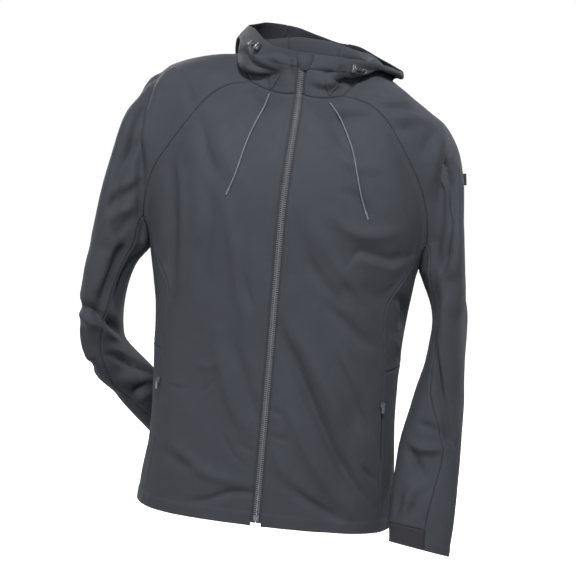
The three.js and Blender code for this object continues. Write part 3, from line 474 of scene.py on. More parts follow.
def splineAt(guides, f):
    # clamped cubic B-spline through the ends of six guides
    knots = np.array([0, 0, 0, 0, 1 / 3, 2 / 3, 1, 1, 1, 1])
    points = np.array([[np.broadcast_to(v, f.shape) for v in guide] for guide in guides])
    result = []
    for axis in range(2):
        value = np.zeros(f.shape)
        for span in range(3):
            k = span + 3
            inside = (np.minimum(np.floor(f * 3), 2) == span)
            d = [points[j + span, axis] for j in range(4)]
            for r in range(1, 4):
                for j in range(3, r - 1, -1):
                    low = knots[j + k - 3]
                    w = (f - low) / (knots[j + 1 + k - r] - low)
                    d[j] = mix(d[j - 1], d[j], w)
            value = np.where(inside, d[3], value)
        result.append(value)
    return result


# Sewing: every panel is sampled on a coarse grid whose edges have their neighbours' points.
grid = {"neck": 12, "arm": 44, "side": 24, "lower": 77, "upper": 63, "cap": 44, "sleeve": 96, "band": 6,
        "hood": 80}
def joined(*spans):
    # even shares over spans that meet, each from its low and high end and its count of steps
    parts = [np.linspace(low, high, count + 1) for low, high, count in spans]
    return np.concatenate([parts[0]] + [part[1:] for part in parts[1:]])


shares = {
    "front": joined((0, 1, grid["neck"]), (1, 2, grid["arm"])),
    "rows": joined((0, cut["crossShare"], grid["lower"]), (cut["crossShare"], 1, grid["upper"])),
    "sideRows": joined((0, 1, grid["lower"]), (1, 2, grid["upper"])),
    "sleeveRows": joined((0, cut["sideCorner"], grid["arm"]),
                         (cut["sideCorner"], cut["bandPlace"], grid["sleeve"]),
                         (cut["bandPlace"], 2, grid["band"])),
    "sleeveDown": joined((0, 1, grid["sleeve"]), (1, 2, grid["band"])),
}


def hoodColumns():
    corners = [neckStart(1), cut["leftCorner"], cut["backCorner"], 360 - cut["backCorner"],
               360 - cut["rightCorner"], 360 - neckStart(-1)]
    counts = [grid["neck"], grid["cap"], 2 * grid["neck"], grid["cap"], grid["neck"]]
    return joined(*zip(corners, corners[1:], counts))


# Each panel: its surface, samples both ways, which way is out, and its four edges (low and high of the first
# way, low and high of the second): 0 is free, 1 a flat seam, 2 a seam between cloths that meet at an angle.
panels = {}


def addPanel(name, surface, first, second, out, edges, base=0.12, reach=26):
    a, b = np.meshgrid(first, second, indexing="ij")
    panels[name] = {"points": surface(a, b), "out": out, "edges": edges, "base": base, "reach": reach}


lowerRows, upperRows = shares["sideRows"][:grid["lower"] + 1], shares["sideRows"][grid["lower"]:]
for side, word in ((1, "left"), (-1, "right")):
    flank, under = partial(sidePoint, side), partial(underSleeve, side)
    sides, unders = joined((0, 1, grid["side"])), joined((-1, 1, grid["side"]))
    front, outer = partial(frontPoint, side), partial(outerSleeve, side)
    down, band = shares["sleeveDown"][:grid["sleeve"] + 1], shares["sleeveDown"][grid["sleeve"]:]
    addPanel(f"front_{word}", front, shares["front"], shares["rows"], side, (0, 2, 0, 2))
    addPanel(f"side_{word}_lower", flank, sides, lowerRows, side, (2, 2, 0, 1))
    addPanel(f"side_{word}_upper", flank, sides, upperRows, side, (2, 2, 1, 2))
    around = joined((0, 1, grid["cap"]))
    addPanel(f"sleeve_{word}_outer", outer, shares["sleeveRows"], around, side, (2, 0, 2, 2))
    addPanel(f"sleeve_{word}_under", under, unders, down, side, (2, 2, 2, 1))
    addPanel(f"cuff_{word}_band", under, unders, band, side, (1, 1, 1, 0))
backShares = np.concatenate([-shares["front"][::-1], shares["front"][1:]])
addPanel("back", backPoint, backShares, shares["rows"], -1, (2, 2, 0, 2))
around = hoodColumns()
leftSeam, rightSeam = cut["hoodSeams"]
for name, low, high, edges in (("hood_left", 0, leftSeam, (0, 1, 2, 0)),
                               ("hood_centre", leftSeam, rightSeam, (1, 1, 2, 0)),
                               ("hood_right", rightSeam, 360, (1, 0, 2, 0))):
    columns = around[(around > low - 0.01) & (around < high + 0.01)]
    addPanel(name, hoodPoint, columns, np.linspace(0, 1, grid["hood"] + 1), 1, edges, base=0.02, reach=9)
print("cut", len(panels), "panels")


def lengths(points, axis):
    # millimetres along the grid lines from both ends
    step = np.linalg.norm(np.diff(points, axis=axis), axis=-1)
    zero = np.zeros_like(np.take(step, [0], axis=axis))
    low = np.concatenate([zero, np.cumsum(step, axis=axis)], axis=axis)
    return low, np.take(low, [-1], axis=axis) - low


def edgeDistances(points):
    return (*lengths(points, 0), *lengths(points, 1))


def nearest(distances, chosen):
    picked = [d for d, wanted in zip(distances, chosen) if wanted]
    return np.minimum.reduce(picked) if picked else np.full(distances[0].shape, 1e3)


sewing = {"rounds": 26, "pull": 0.6, "freeEdge": 18, "flatReach": 3}


def sewTogether():
    names = list(panels)
    shapes = [panels[n]["points"].shape[:2] for n in names]
    flat = np.concatenate([panels[n]["points"].reshape(-1, 3) for n in names])
    keys = np.round(flat * 5 + 0.37).astype(np.int64)
    _, first, weld = np.unique(keys, axis=0, return_index=True, return_inverse=True)
    weld = weld.ravel()
    count = len(first)
    offsets = np.concatenate([[0], np.cumsum([a * b for a, b in shapes])])
    pairs, weight = [], np.ones(count)
    for name, (a, b), low in zip(names, shapes, offsets):
        panel = panels[name]
        index = weld[low:low + a * b].reshape(a, b)
        panel["index"] = index
        pairs += [np.stack([index[:-1].ravel(), index[1:].ravel()], 1),
                  np.stack([index[:, :-1].ravel(), index[:, 1:].ravel()], 1)]
        distances = edgeDistances(panel["points"])
        eased = nearest(distances, [e == 2 for e in panel["edges"]])
        own = panel["base"] + (1 - panel["base"]) * bump(eased, panel["reach"])
        own = own * smooth(nearest(distances, [e == 0 for e in panel["edges"]]) / sewing["freeEdge"])
        np.minimum.at(weight, index.ravel(), own.ravel())
    pairs = np.concatenate(pairs)
    pairs = np.concatenate([pairs, pairs[:, ::-1]])
    pairs = pairs[pairs[:, 0] != pairs[:, 1]]
    degree = np.maximum(np.bincount(pairs[:, 0], minlength=count), 1)
    points = flat[first]
    for _ in range(sewing["rounds"]):
        mean = np.stack([np.bincount(pairs[:, 0], points[pairs[:, 1], k], count) for k in range(3)], -1)
        points = points + (mean / degree[:, None] - points) * weight[:, None] * sewing["pull"]
    for panel in panels.values():
        panel["points"] = points[panel["index"]]
    return points


def commonNormals(points):
    # every point's direction out of the cloth, shared by the panels that meet there
    total = np.zeros_like(points)
    for panel in panels.values():
        own = np.cross(np.gradient(panel["points"], axis=0), np.gradient(panel["points"], axis=1))
        np.add.at(total, panel["index"].ravel(), (unit(own) * panel["out"]).reshape(-1, 3))
    total = unit(total)
    for panel in panels.values():
        panel["normals"] = total[panel["index"]]


commonNormals(sewTogether())
print("sewed and eased the seams")


def resample(values, at, axis):
    # a Catmull-Rom curve through the grid at fractional places
    values = np.moveaxis(values, axis, 0)
    last = len(values) - 1
    values = np.concatenate([2 * values[:1] - values[1:2], values, 2 * values[-1:] - values[-2:-1]])
    i = np.clip(np.floor(at).astype(int), 0, last - 1)
    f = (at - i).reshape((-1,) + (1,) * (values.ndim - 1))
    a, b, c, d = (values[i + k] for k in range(4))
    made = b + 0.5 * f * (c - a + f * (2 * a - 5 * b + 4 * c - d + f * (3 * (b - c) + d - a)))
    return np.moveaxis(made, 0, axis)


def fineSteps(points, axis, spacing):
    # even steps of about the spacing, with closer ones at the edges, in grid units
    total = np.linalg.norm(np.diff(points, axis=axis), axis=-1).sum(axis).max()
    last = points.shape[axis] - 1
    step = total / last
    at = np.linspace(0, last, max(int(total / spacing), 4) + 1)
    close = np.array([0.7, 1.5, 2.7, 4]) / step
    at = at[(at > close[-1] + 0.4 / step) & (at < last - close[-1] - 0.4 / step)]
    return np.concatenate([[0], close, at, last - close[::-1], [last]])


class Noise:
    # smooth seeded noise over places in millimetres
    cells = 32

    def __init__(self, seed):
        self.table = np.random.default_rng(seed).uniform(-1, 1, (self.cells,) * 3)

    def __call__(self, places, scale):
        p = places / np.asarray(scale, float) + 100
        i = np.floor(p).astype(int)
        f = p - i
        f = f * f * (3 - 2 * f)
        value = 0
        for corner in np.ndindex(2, 2, 2):
            weight = np.where(corner, f, 1 - f).prod(-1)
            value = value + weight * self.table[tuple(np.moveaxis((i + corner) % self.cells, -1, 0))]
        return value


softNoise, fineNoise, puckerNoise = Noise(4), Noise(9), Noise(15)

# Creases and ridges by the panels they are on: half width, height of the ridge (below 0 a valley), height of
# the step from one side to the other, and the line. These face ahead, with lines in pixels of the photograph.
creases = {
    "sleeve_right": [
        (7, -11, 3, [(163, 66), (156, 76), (150, 86), (146, 98), (142, 109), (139.5, 121), (138, 134),
            (138, 150), (139, 170)]),
        (11.5, 5.2, 0, [(141, 88), (132, 112), (125, 135), (117, 160)]),
        (8, -5.2, 0, [(140, 184), (128, 193), (116, 201), (106, 209)]),
        (8, 4.5, 0, [(136, 178), (124, 186), (112, 192)]),
        (8, 4.5, 0, [(134, 206), (120, 212), (108, 222)]),
        (8, -4.5, 0, [(135, 216), (124, 226), (116, 240)]),
        (11.5, 6.8, 0, [(122, 232), (113, 255), (104, 278), (92, 296)]),
        (15, -9, 0, [(132, 236), (124, 262), (115, 288), (104, 306)]),
        (6.5, -10.5, -9, [(78, 306), (90, 314), (104, 323), (122, 336)]),
        (10, 5.2, 0, [(84, 322), (96, 338), (110, 348), (128, 352)]),
        (5.5, -10.5, 3, [(88, 364), (100, 358), (110, 354.5), (120, 358), (134, 364), (148, 370),
            (158, 373)]),
        (8, 5.2, 0, [(98, 372), (118, 376), (136, 380), (154, 377)]),
        (5.5, -6, 0, [(132, 398), (137, 389), (147, 385), (157, 384)]),
        (6.5, 4.5, 0, [(138, 402), (146, 395), (156, 392)]),
        (4, -3.9, 0, [(118, 392), (130, 398), (142, 404), (150, 409)]),
        (5, -3, 0, [(104, 380), (116, 388), (126, 398), (138, 410)]),
        (8, -17, 0, [(140.5, 146), (141, 160), (142, 180), (143, 200), (143, 222), (138, 246)]),
        (20, -15, 0, [(124, 244), (117, 266), (111, 290), (106, 314)]),
        (8, -3.9, 0, [(185, 80), (189, 94), (193, 108), (196, 118)]),
    ],
    "sleeve_left": [
        (12, -11, 3, [(451, 150), (449, 166), (446, 184), (442, 204), (438, 222), (432, 246), (430, 276),
            (431, 300)]),
        (10, -6, 0, [(459, 143), (456, 156), (455, 175), (454, 196), (449, 216), (442, 236), (438, 252),
            (442, 272), (444, 288), (438, 306)]),
        (11, -5, 0, [(450, 156), (444, 176), (438, 196), (434, 216)]),
        (8, -4.5, 0, [(438, 128), (430, 140), (423, 154)]),
        (10, 4.5, 0, [(446, 128), (440, 146), (434, 166), (430, 188)]),
        (8, -4.5, 0, [(375, 109), (392, 109), (410, 108), (428, 112)]),
        (8, 4.5, 0, [(372, 101), (392, 101), (412, 102)]),
        (8, 3.8, 0, [(382, 117), (402, 117), (426, 118)]),
        (8, -3.9, 0, [(384, 129), (398, 130), (414, 131)]),
        (8, -3.8, 0, [(380, 92), (392, 92), (404, 94)]),
        (11.5, 4.5, 0, [(456, 200), (458, 240), (457, 290), (455, 340)]),
        (10, -3, 0, [(448, 262), (452, 300), (450, 350), (453, 400)]),
        (4.5, -9, 3, [(433, 332), (436, 356), (439.5, 380), (443, 402), (447, 424), (452, 446)]),
        (6.5, -10.5, 0, [(420, 424), (432, 428), (444, 436), (452, 446)]),
        (6.5, 9, 0, [(409, 442), (418, 448), (430, 450), (442, 449), (452, 447)]),
        (6.5, -9, 0, [(409, 448), (414, 458), (420, 470), (427, 481)]),
        (7.5, -5.2, 0, [(432, 458), (436, 470), (433, 484), (424, 496)]),
        (8, 4.5, 0, [(404, 478), (412, 490), (406, 506)]),
        (5, -6, 0, [(402, 490), (398, 504), (395, 518)]),
        (5, -4.5, 0, [(420, 492), (414, 506), (408, 522)]),
        (5, 3.8, 0, [(428, 498), (422, 512), (417, 527)]),
        (5, 3.6, 0, [(410, 492), (405, 506), (401, 520)]),
        (5, 3, 0, [(448, 448), (456, 436), (460, 428)]),
    ],
    "front_right": [
        (10, -6, 0, [(198, 112), (202, 134), (207, 156), (215, 178)]),
        (13, 4.2, 0, [(214, 106), (220, 134), (226, 160), (240, 186)]),
        (8, 4.2, 0, [(178, 160), (182, 200), (181, 250), (178, 300)]),
        (10, -6, 0, [(171, 160), (172, 200), (172, 250), (168, 296)]),
        (11.5, -5.1, 0, [(206, 180), (210, 214), (204, 250), (199, 290)]),
        (11.5, 4.1, 0, [(222, 196), (232, 240), (240, 290), (244, 330)]),
        (8, -4.4, 0, [(240, 262), (245, 288), (252, 312)]),
        (10, -5.1, 0, [(232, 340), (242, 372), (250, 400), (260, 424)]),
        (10, 4.4, 0, [(216, 330), (222, 368), (232, 404), (246, 430)]),
        (4.5, -1.9, 0, [(222, 434), (228, 446), (236, 458), (246, 467)]),
        (4, -1.9, 0, [(238, 442), (246, 449), (257, 451)]),
        (3.5, -1.4, 0, [(168, 384), (178, 388), (188, 388)]),
        (3.5, -1.4, 0, [(202, 393), (208, 388), (214, 380)]),
        (8, 2, 0, [(196, 362), (208, 366), (222, 360)]),
        (10, 4.2, 0, [(170, 440), (196, 466), (226, 480), (250, 482)]),
        (6.5, -5.1, 0, [(188, 502), (208, 500), (230, 493), (258, 494)]),
        (10, -3.4, 0, [(162, 450), (180, 462), (200, 466)]),
        (6.5, -4.4, 0, [(250, 92), (258, 103), (270, 108), (286, 102)]),
    ],
    "front_left": [
        (6.5, -5.1, 0, [(306, 102), (318, 110), (332, 118), (352, 118), (374, 116)]),
        (8, 4.4, 0, [(310, 95), (328, 102), (346, 108), (366, 107)]),
        (8, -3.7, 0, [(330, 124), (340, 138), (348, 152)]),
        (11.5, 4.4, 0, [(312, 128), (330, 146), (352, 164), (384, 170)]),
        (10, -5.1, 0, [(342, 190), (356, 198), (366, 210), (372, 220)]),
        (11.5, 5.1, 0, [(330, 214), (352, 232), (378, 236), (400, 232)]),
        (8, -5, -2.5, [(352, 262), (360, 254), (376, 258), (392, 262), (408, 258)]),
        (11.5, -6, 0, [(296, 218), (302, 244), (312, 268), (330, 292), (348, 310)]),
        (11.5, 5.1, 0, [(318, 226), (330, 256), (352, 286), (372, 306)]),
        (13, -6.8, 0, [(322, 300), (342, 320), (360, 338), (376, 348)]),
        (8, 4.4, 0, [(338, 344), (346, 364), (356, 384), (364, 398)]),
        (10, -11, 0, [(278, 328), (290, 352), (302, 380), (314, 408), (326, 434), (340, 462), (356, 488),
            (374, 508)]),
        (13, 6.8, 0, [(296, 330), (312, 362), (328, 394), (344, 424), (362, 458)]),
        (13, 6.8, 0, [(286, 400), (300, 436), (316, 468), (338, 498), (364, 520)]),
        (4.5, -2.3, 0, [(354, 398), (360, 412), (366, 426), (372, 438)]),
        (8, -6, 0, [(282, 480), (298, 495), (318, 508), (340, 520)]),
        (5, -1.9, 0, [(268, 434), (276, 438), (288, 440)]),
        (5, -1.9, 0, [(270, 408), (275, 412), (281, 416)]),
        (8, 4.1, 0, [(276, 452), (284, 478), (286, 500)]),
        (5.5, -5.4, 0, [(364, 468), (370, 476), (378, 484)]),
    ],
    "side_left": [
        (5, 3.6, 0, [(392, 334), (396, 344), (400, 354)]),
        (8, -8.5, 0, [(394, 298), (402, 300), (406, 312), (402, 330)]),
    ],
    "side_right": [
        (5, 2.2, 0, [(158, 250), (161, 290), (163, 330)]),
    ],
}
# Similar ones face back, with lines in x and z.
hiddenCreases = {
    "back": [
        (22, -4, 0, [(-120, -210), (-60, -260), (30, -262), (110, -215)]),
        (20, 3.4, 0, [(-130, -250), (-50, -310), (40, -312), (120, -258)]),
        (20, -3.4, 0, [(-150, -420), (-80, -450), (60, -455), (150, -430)]),
        (24, 3, 0, [(-150, -560), (-40, -520), (90, -560), (160, -620)]),
        (9, -4, 0, [(-150, -120), (-166, -190), (-170, -260), (-160, -330)]),
        (9, -4, 0, [(150, -124), (168, -196), (166, -270), (158, -320)]),
        (12, -4.5, 0, [(60, -380), (96, -440), (120, -520), (132, -610), (160, -690)]),
        (13, 3.4, 0, [(90, -370), (132, -450), (156, -540)]),
        (10, -3, 0, [(-70, -470), (-96, -540), (-104, -630)]),
        (7, -2.6, 0, [(-20, -640), (30, -668), (90, -680)]),
    ],
    "sleeve_left": [
        (12, -5, 1, [(262, -300), (286, -330), (300, -372)]),
        (11, -6, 1, [(250, -150), (262, -210), (262, -280)]),
        (10, -4.5, 0, [(302, -430), (272, -470), (244, -490)]),
        (8, 3, 0, [(296, -456), (268, -496), (246, -520)]),
        (7, -3, 0, [(252, -600), (246, -660), (252, -716)]),
        (7, -2.6, 0, [(280, -590), (276, -650), (268, -700)]),
    ],
    "sleeve_right": [
        (12, -5, 1, [(-262, -300), (-300, -330), (-322, -372)]),
        (11, -6, 1, [(-256, -120), (-272, -190), (-270, -260)]),
        (10, -5, 1, [(-350, -440), (-320, -500), (-280, -520)]),
        (8, -3.4, 0, [(-300, -560), (-270, -574), (-236, -580)]),
        (7, 3, 0, [(-290, -590), (-256, -604), (-226, -600)]),
    ],
}


def easedLine(points, parts=5):
    points = np.array(points, float)
    if len(points) < 3:
        return points
    at = np.linspace(0, len(points) - 1, (len(points) - 1) * parts + 1)
    return resample(points, at, 0)


# On the hood the lines are in its own angle and height.
hoodCreases = [
    (7, -12, [(288, 0.9), (296, 0.915), (306, 0.89), (316, 0.84), (324, 0.76), (332, 0.6)]),
    (6.5, 5, [(327, 0.945), (338, 0.895), (343, 0.8), (346, 0.6)]),
    (5.5, -3.5, [(312, 0.93), (330, 0.95), (348, 0.93)]),
    (5, -5, [(345, 0.9), (347, 0.755), (350, 0.5), (352, 0.2)]),
    (9, -8, [(37, 0.93), (41, 0.8), (45, 0.5), (49, 0.15)]),
    (6.5, -7, [(52, 0.95), (62, 0.93), (72, 0.88), (84, 0.8)]),
    (6.5, 5, [(50, 0.99), (64, 0.98), (80, 0.97), (96, 0.96)]),
    (4.5, -3, [(12, 0.72), (19, 0.69), (29, 0.715)]),
    (4, -2.6, [(20, 0.425), (26, 0.625), (32, 0.805)]),
    (6.5, 4, [(14, 0.21), (24, 0.145), (36, 0.245)]),
    (5, -4, [(8, 0.115), (19, 0.06), (34, 0.055)]),
    (12, -6, [(136, 0.82), (158, 0.73), (180, 0.7), (204, 0.74), (226, 0.83)]),
    (10, 5, [(146, 0.55), (168, 0.48), (192, 0.48), (214, 0.56)]),
    (8, -5, [(164, 0.96), (168, 0.8), (172, 0.62)]),
    (7, -4, [(197, 0.97), (192, 0.8), (190, 0.66)]),
    (8, -6, [(108, 0.92), (118, 0.76), (126, 0.6)]),
    (8, -5, [(240, 0.93), (232, 0.78), (226, 0.64)]),
    (9, 4, [(92, 0.7), (110, 0.62), (130, 0.5)]),
]


def alongLine(points, line):
    # distance from a line, how far along it, and which side of it when it is flat
    best, gone = None, 0
    spans = np.linalg.norm(np.diff(line, axis=0), axis=1)
    for start, end, span in zip(line, line[1:], spans):
        way = end - start
        f = np.clip(((points - start) @ way) / span ** 2, 0, 1)
        off = points - start - f[..., None] * way
        turned = np.sign(way[0] * off[..., 1] - way[1] * off[..., 0])
        new = [np.linalg.norm(off, axis=-1), turned, (gone + f * span) / spans.sum()]
        best = new if best is None else [np.where(new[0] < best[0], a, b) for a, b in zip(new, best)]
        gone += span
    return best


def strokeLift(points, line, width, ridge, step):
    line = easedLine(line)
    lift = np.zeros(points.shape[:-1])
    low, high = line.min(0) - 3.2 * width, line.max(0) + 3.2 * width
    near = ((points > low) & (points < high)).all(-1)
    if near.any():
        away, turned, share = alongLine(points[near], line)
        taper = np.sqrt(np.clip(np.sin(np.pi * np.clip(share, 0.02, 0.98)), 0, 1))
        slope = turned * 1.6 * (away / width) * bump(away, width * 1.5)
        lift[near] = (ridge * bump(away, width) + step * slope) * taper
    return lift


def viewAxes():
    # the photograph's camera: right, up and back
    yaw, pitch, roll = (np.radians(view[k]) for k in ("yaw", "pitch", "roll"))
    back = np.array([np.sin(yaw) * np.cos(pitch), -np.cos(yaw) * np.cos(pitch), np.sin(pitch)])
    level = np.array([np.cos(yaw), np.sin(yaw), 0])
    raised = np.cross(back, level)
    right = level * np.cos(roll) + raised * np.sin(roll)
    return right, raised * np.cos(roll) - level * np.sin(roll), back


def seen(points):
    # millimetres right and up from the photograph's centre, as its camera sees the points
    right, up, back = viewAxes()
    offset = points - np.array(view["target"], float)
    scale = view["distance"] / (view["distance"] - offset @ back)
    return np.stack([offset @ right * scale, offset @ up * scale], -1)


def pressCreases(name, points, normals):
    lift = 0
    if name.startswith("hood"):
        for width, ridge, line in hoodCreases:
            lift = lift + strokeLift(points, hoodPoint(*np.array(line).T), width, ridge, 0)
    centre = view["photoPixels"] / 2
    turnOver = view["mmPerPixel"] * np.array([1, -1])
    for places, facing, chosen in ((seen(points), 1, creases), (points[..., ::2], -1, hiddenCreases)):
        shown = smooth((-normals[..., 1] * facing - 0.02) / 0.18)
        for panel in chosen:
            if not name.startswith(panel):
                continue
            for width, ridge, step, line in chosen[panel]:
                if facing > 0:
                    line = (np.array(line) - centre) * turnOver
                lift = lift + shown * strokeLift(places, line, width, ridge, step)
    return np.maximum(lift, -cloth["deepest"])


cloth = {
    "thick": 1.8, "edgeRound": 0.9, "edgeShare": 0.4, "deepest": 22,
    "held": 16, "wander": 0.35, "grain": 0.12,    # how far seams hold the cloth, and its small unevenness
    "seamDip": 1.1, "seamWidth": 1.3, "seamRoll": 0.4, "rollAway": 4.5, "rollWidth": 3,
    "pucker": 0.35, "puckerAway": 5, "puckerWidth": 6, "gather": 0.45,
    "hemFold": 21, "cuffFold": 15, "bandFold": 2.2, "rimFold": 24, "zipFold": 6.5, "foldThick": 0.9,
    "stitchDip": 0.8, "stitchWidth": 1.1, "rib": 0.9, "ribDip": 0.6,
}
# How far the cloth wanders, and over what lengths.
drift = {"sleeve": (1.5, (34, 34, 60)), "hood": (1.4, (36, 36, 30)), "": (1.3, (70, 70, 190))}
# The edges that are turned in and stitched, by the panel's first word.
turnedIn = {"front": ((0, "zipFold"), (2, "hemFold")), "side": ((2, "hemFold"),), "back": ((2, "hemFold"),),
            "sleeve": ((1, "cuffFold"),), "hood": ((3, "rimFold"), (0, "zipFold"), (1, "zipFold"))}
pocket = {"top": -526, "foot": -628, "calm": 24, "sliderDown": 6, "beyond": 150}
finePanels = {}    # the finished outer faces: points and directions out


def drape(name, points, normals):
    # how far the cloth stands off its smooth shape
    edges = panels[name]["edges"]
    distances = edgeDistances(points)
    toSeam = nearest(distances, edges)
    held = 1 - bump(toSeam, cloth["held"])
    word = name.split("_")[0]
    deep, scale = drift.get(word, drift[""])
    lift = held * deep * softNoise(points, scale)
    lift = lift + held * cloth["wander"] * fineNoise(points, (17, 17, 24))
    lift = lift + cloth["grain"] * fineNoise(points + 60, 7)
    lift = lift + pressCreases(name, points, normals) * (0.3 + 0.7 * held)
    slider = np.abs(points[..., 2] - pocket["top"] + pocket["sliderDown"])
    calm = bump(slider, pocket["calm"]) * bump(toSeam, pocket["calm"])
    lift = lift * (1 - calm * (np.abs(points[..., 0]) > pocket["beyond"]))
    lift = lift - cloth["seamDip"] * bump(toSeam, cloth["seamWidth"])
    lift = lift + cloth["seamRoll"] * bump(toSeam - cloth["rollAway"], cloth["rollWidth"])
    small = puckerNoise(points, 9) * bump(toSeam - cloth["puckerAway"], cloth["puckerWidth"])
    lift = lift + cloth["pucker"] * small
    # turned edges: a thicker strip, a line of stitches and small gathers
    for k, fold in turnedIn.get(word, ()):
        if edges[k] == 0:
            wide, away = cloth[fold], distances[k]
            lift = lift + cloth["foldThick"] * (1 - smooth((away - wide + 1) / 2))
            lift = lift - cloth["stitchDip"] * bump(away - wide, cloth["stitchWidth"])
            gathers = puckerNoise(points, (8, 8, 20)) * bump(away - wide * 0.6, wide * 0.6)
            lift = lift + cloth["gather"] * gathers
    if word == "cuff":
        ribs = cloth["rib"] * puckerNoise(points * (1, 1, 0.15), 4.2) - cloth["ribDip"]
        lift = lift + ribs * smooth(distances[2] / 3) * smooth(distances[3] / 3)
    return lift, distances


def roundedThickness(distances, thick, edgeRound, least):
    edge = np.clip(nearest(distances, (1, 1, 1, 1)) / edgeRound, 0, 1)
    return thick * (least + (1 - least) * np.sqrt(1 - (1 - edge) ** 2))


def newObject(name, points, faces, uv=None, sharp=50):
    # a piece from points in millimetres; uv gives a pair for each point
    mesh = bpy.data.meshes.new(name)
    mesh.from_pydata((np.asarray(points) * mm).tolist(), [], [tuple(f) for f in faces])
    mesh.shade_smooth()
    if sharp:
        mesh.set_sharp_from_angle(angle=math.radians(sharp))
    if uv is not None:
        layer = mesh.uv_layers.new(name="cloth")
        corners = np.zeros(len(mesh.loops), np.int32)
        mesh.loops.foreach_get("vertex_index", corners)
        layer.data.foreach_set("uv", np.asarray(uv, float)[corners].ravel())
    piece = bpy.data.objects.new(name, mesh)
    bpy.context.scene.collection.objects.link(piece)
    return piece


def closedWall(name, outward, inward, out, uv):
    # two grids of points joined round their edges
    a, b = outward.shape[:2]
    index = np.arange(a * b).reshape(a, b)
    quads = np.stack([index[:-1, :-1], index[1:, :-1], index[1:, 1:], index[:-1, 1:]], -1).reshape(-1, 4)
    loop = np.concatenate([index[:-1, 0], index[-1, :-1], index[:0:-1, -1], index[0, :0:-1]])
    after = np.roll(loop, -1)
    rim = np.stack([loop, loop + a * b, after + a * b, after], -1)
    faces = np.concatenate([quads, quads[:, ::-1] + a * b, rim])
    if out < 0:
        faces = faces[:, ::-1]
    points = np.concatenate([outward.reshape(-1, 3), inward.reshape(-1, 3)])
    return newObject(name, points, faces.tolist(), np.concatenate([uv, uv]))


def clothWall(name, points, normals, lift, distances, out, thick, thin):
    # a wall about the points, stood off by the lift and thinner towards its edges
    outward = points + normals * (lift - (thick - thin) / 2)[..., None]
    uv = np.stack([distances[0] * mm, distances[2] * mm], -1).reshape(-1, 2)
    finePanels[name] = {"points": outward, "normals": normals}
    return closedWall(name + "_cloth", outward, outward - normals * thin[..., None], out, uv)


def settle(piece, finish, body="jacket", nodes=()):
    # what every small piece says: its finish, its body and the CAD nodes that it stands for
    piece.data.materials.append(finishes[finish])
    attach(piece, body)
    if nodes:
        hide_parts(*nodes)
    return piece


spacings = {"front": 3.4, "side": 3.6, "back": 4.2, "sleeve": 3.9, "cuff": 2.0, "hood": 3.8}
clothKinds = {"shell": ("shell", "shell_cloth", "draped"), "cuff": ("elastic", "cuff_elastic", "gathered")}


def buildPanel(name):
    panel = panels[name]
    spacing = spacings[name.split("_")[0]] * 1
    points, normals = panel["points"], panel["normals"]
    for axis in (0, 1):
        at = fineSteps(panel["points"], axis, spacing)
        points, normals = resample(points, at, axis), resample(normals, at, axis)
    normals = unit(normals)
    lift, distances = drape(name, points, normals)
    thin = roundedThickness(distances, cloth["thick"], cloth["edgeRound"], cloth["edgeShare"])
    piece = clothWall(name, points, normals, lift, distances, panel["out"], cloth["thick"], thin)
    outward = finePanels[name]["points"]
    cell = np.cross(outward[1:, :-1] - outward[:-1, :-1], outward[:-1, 1:] - outward[:-1, :-1])
    wide, tall = distances[0].max() * mm, distances[2].max() * mm
    area = min(np.linalg.norm(cell, axis=-1).sum() * mm * mm, wide * tall)
    wide = min(wide, area / (0.75 * tall))    # a curved piece is cut narrower than its longest row
    kind = "cuff" if name.startswith("cuff") else "shell"
    finish, slot, held = clothKinds[kind]
    settle(piece, finish, nodes=[name])
    print(f"  {name} {wide * 1000:.0f} x {tall * 1000:.0f} mm, {area:.4f} m2")


# Finishes. A Value is a socket that makes its Math nodes when it is added, multiplied and so on.
class Value:
    def __init__(self, tree, socket):
        self.tree, self.socket = tree, socket

    def math(self, operation, *others, first=True):
        node = self.tree.nodes.new("ShaderNodeMath")
        node.operation = operation
        items = [self, *others] if first else [*others, self]
        for slot, item in zip(node.inputs, items):
            if isinstance(item, Value):
                self.tree.links.new(item.socket, slot)
            else:
                slot.default_value = item
        return Value(self.tree, node.outputs[0])

    def __add__(self, other):
        return self.math("ADD", other)

    def __sub__(self, other):
        return self.math("SUBTRACT", other)

    def __mul__(self, other):
        return self.math("MULTIPLY", other)

    def __truediv__(self, other):
        return self.math("DIVIDE", other)

    def __rsub__(self, other):
        return self.math("SUBTRACT", other, first=False)

    __radd__, __rmul__ = __add__, __mul__

    def wave(self):
        return self.math("SINE")

    def clamped(self):
        return self.math("MINIMUM", 1.0).math("MAXIMUM", 0.0)


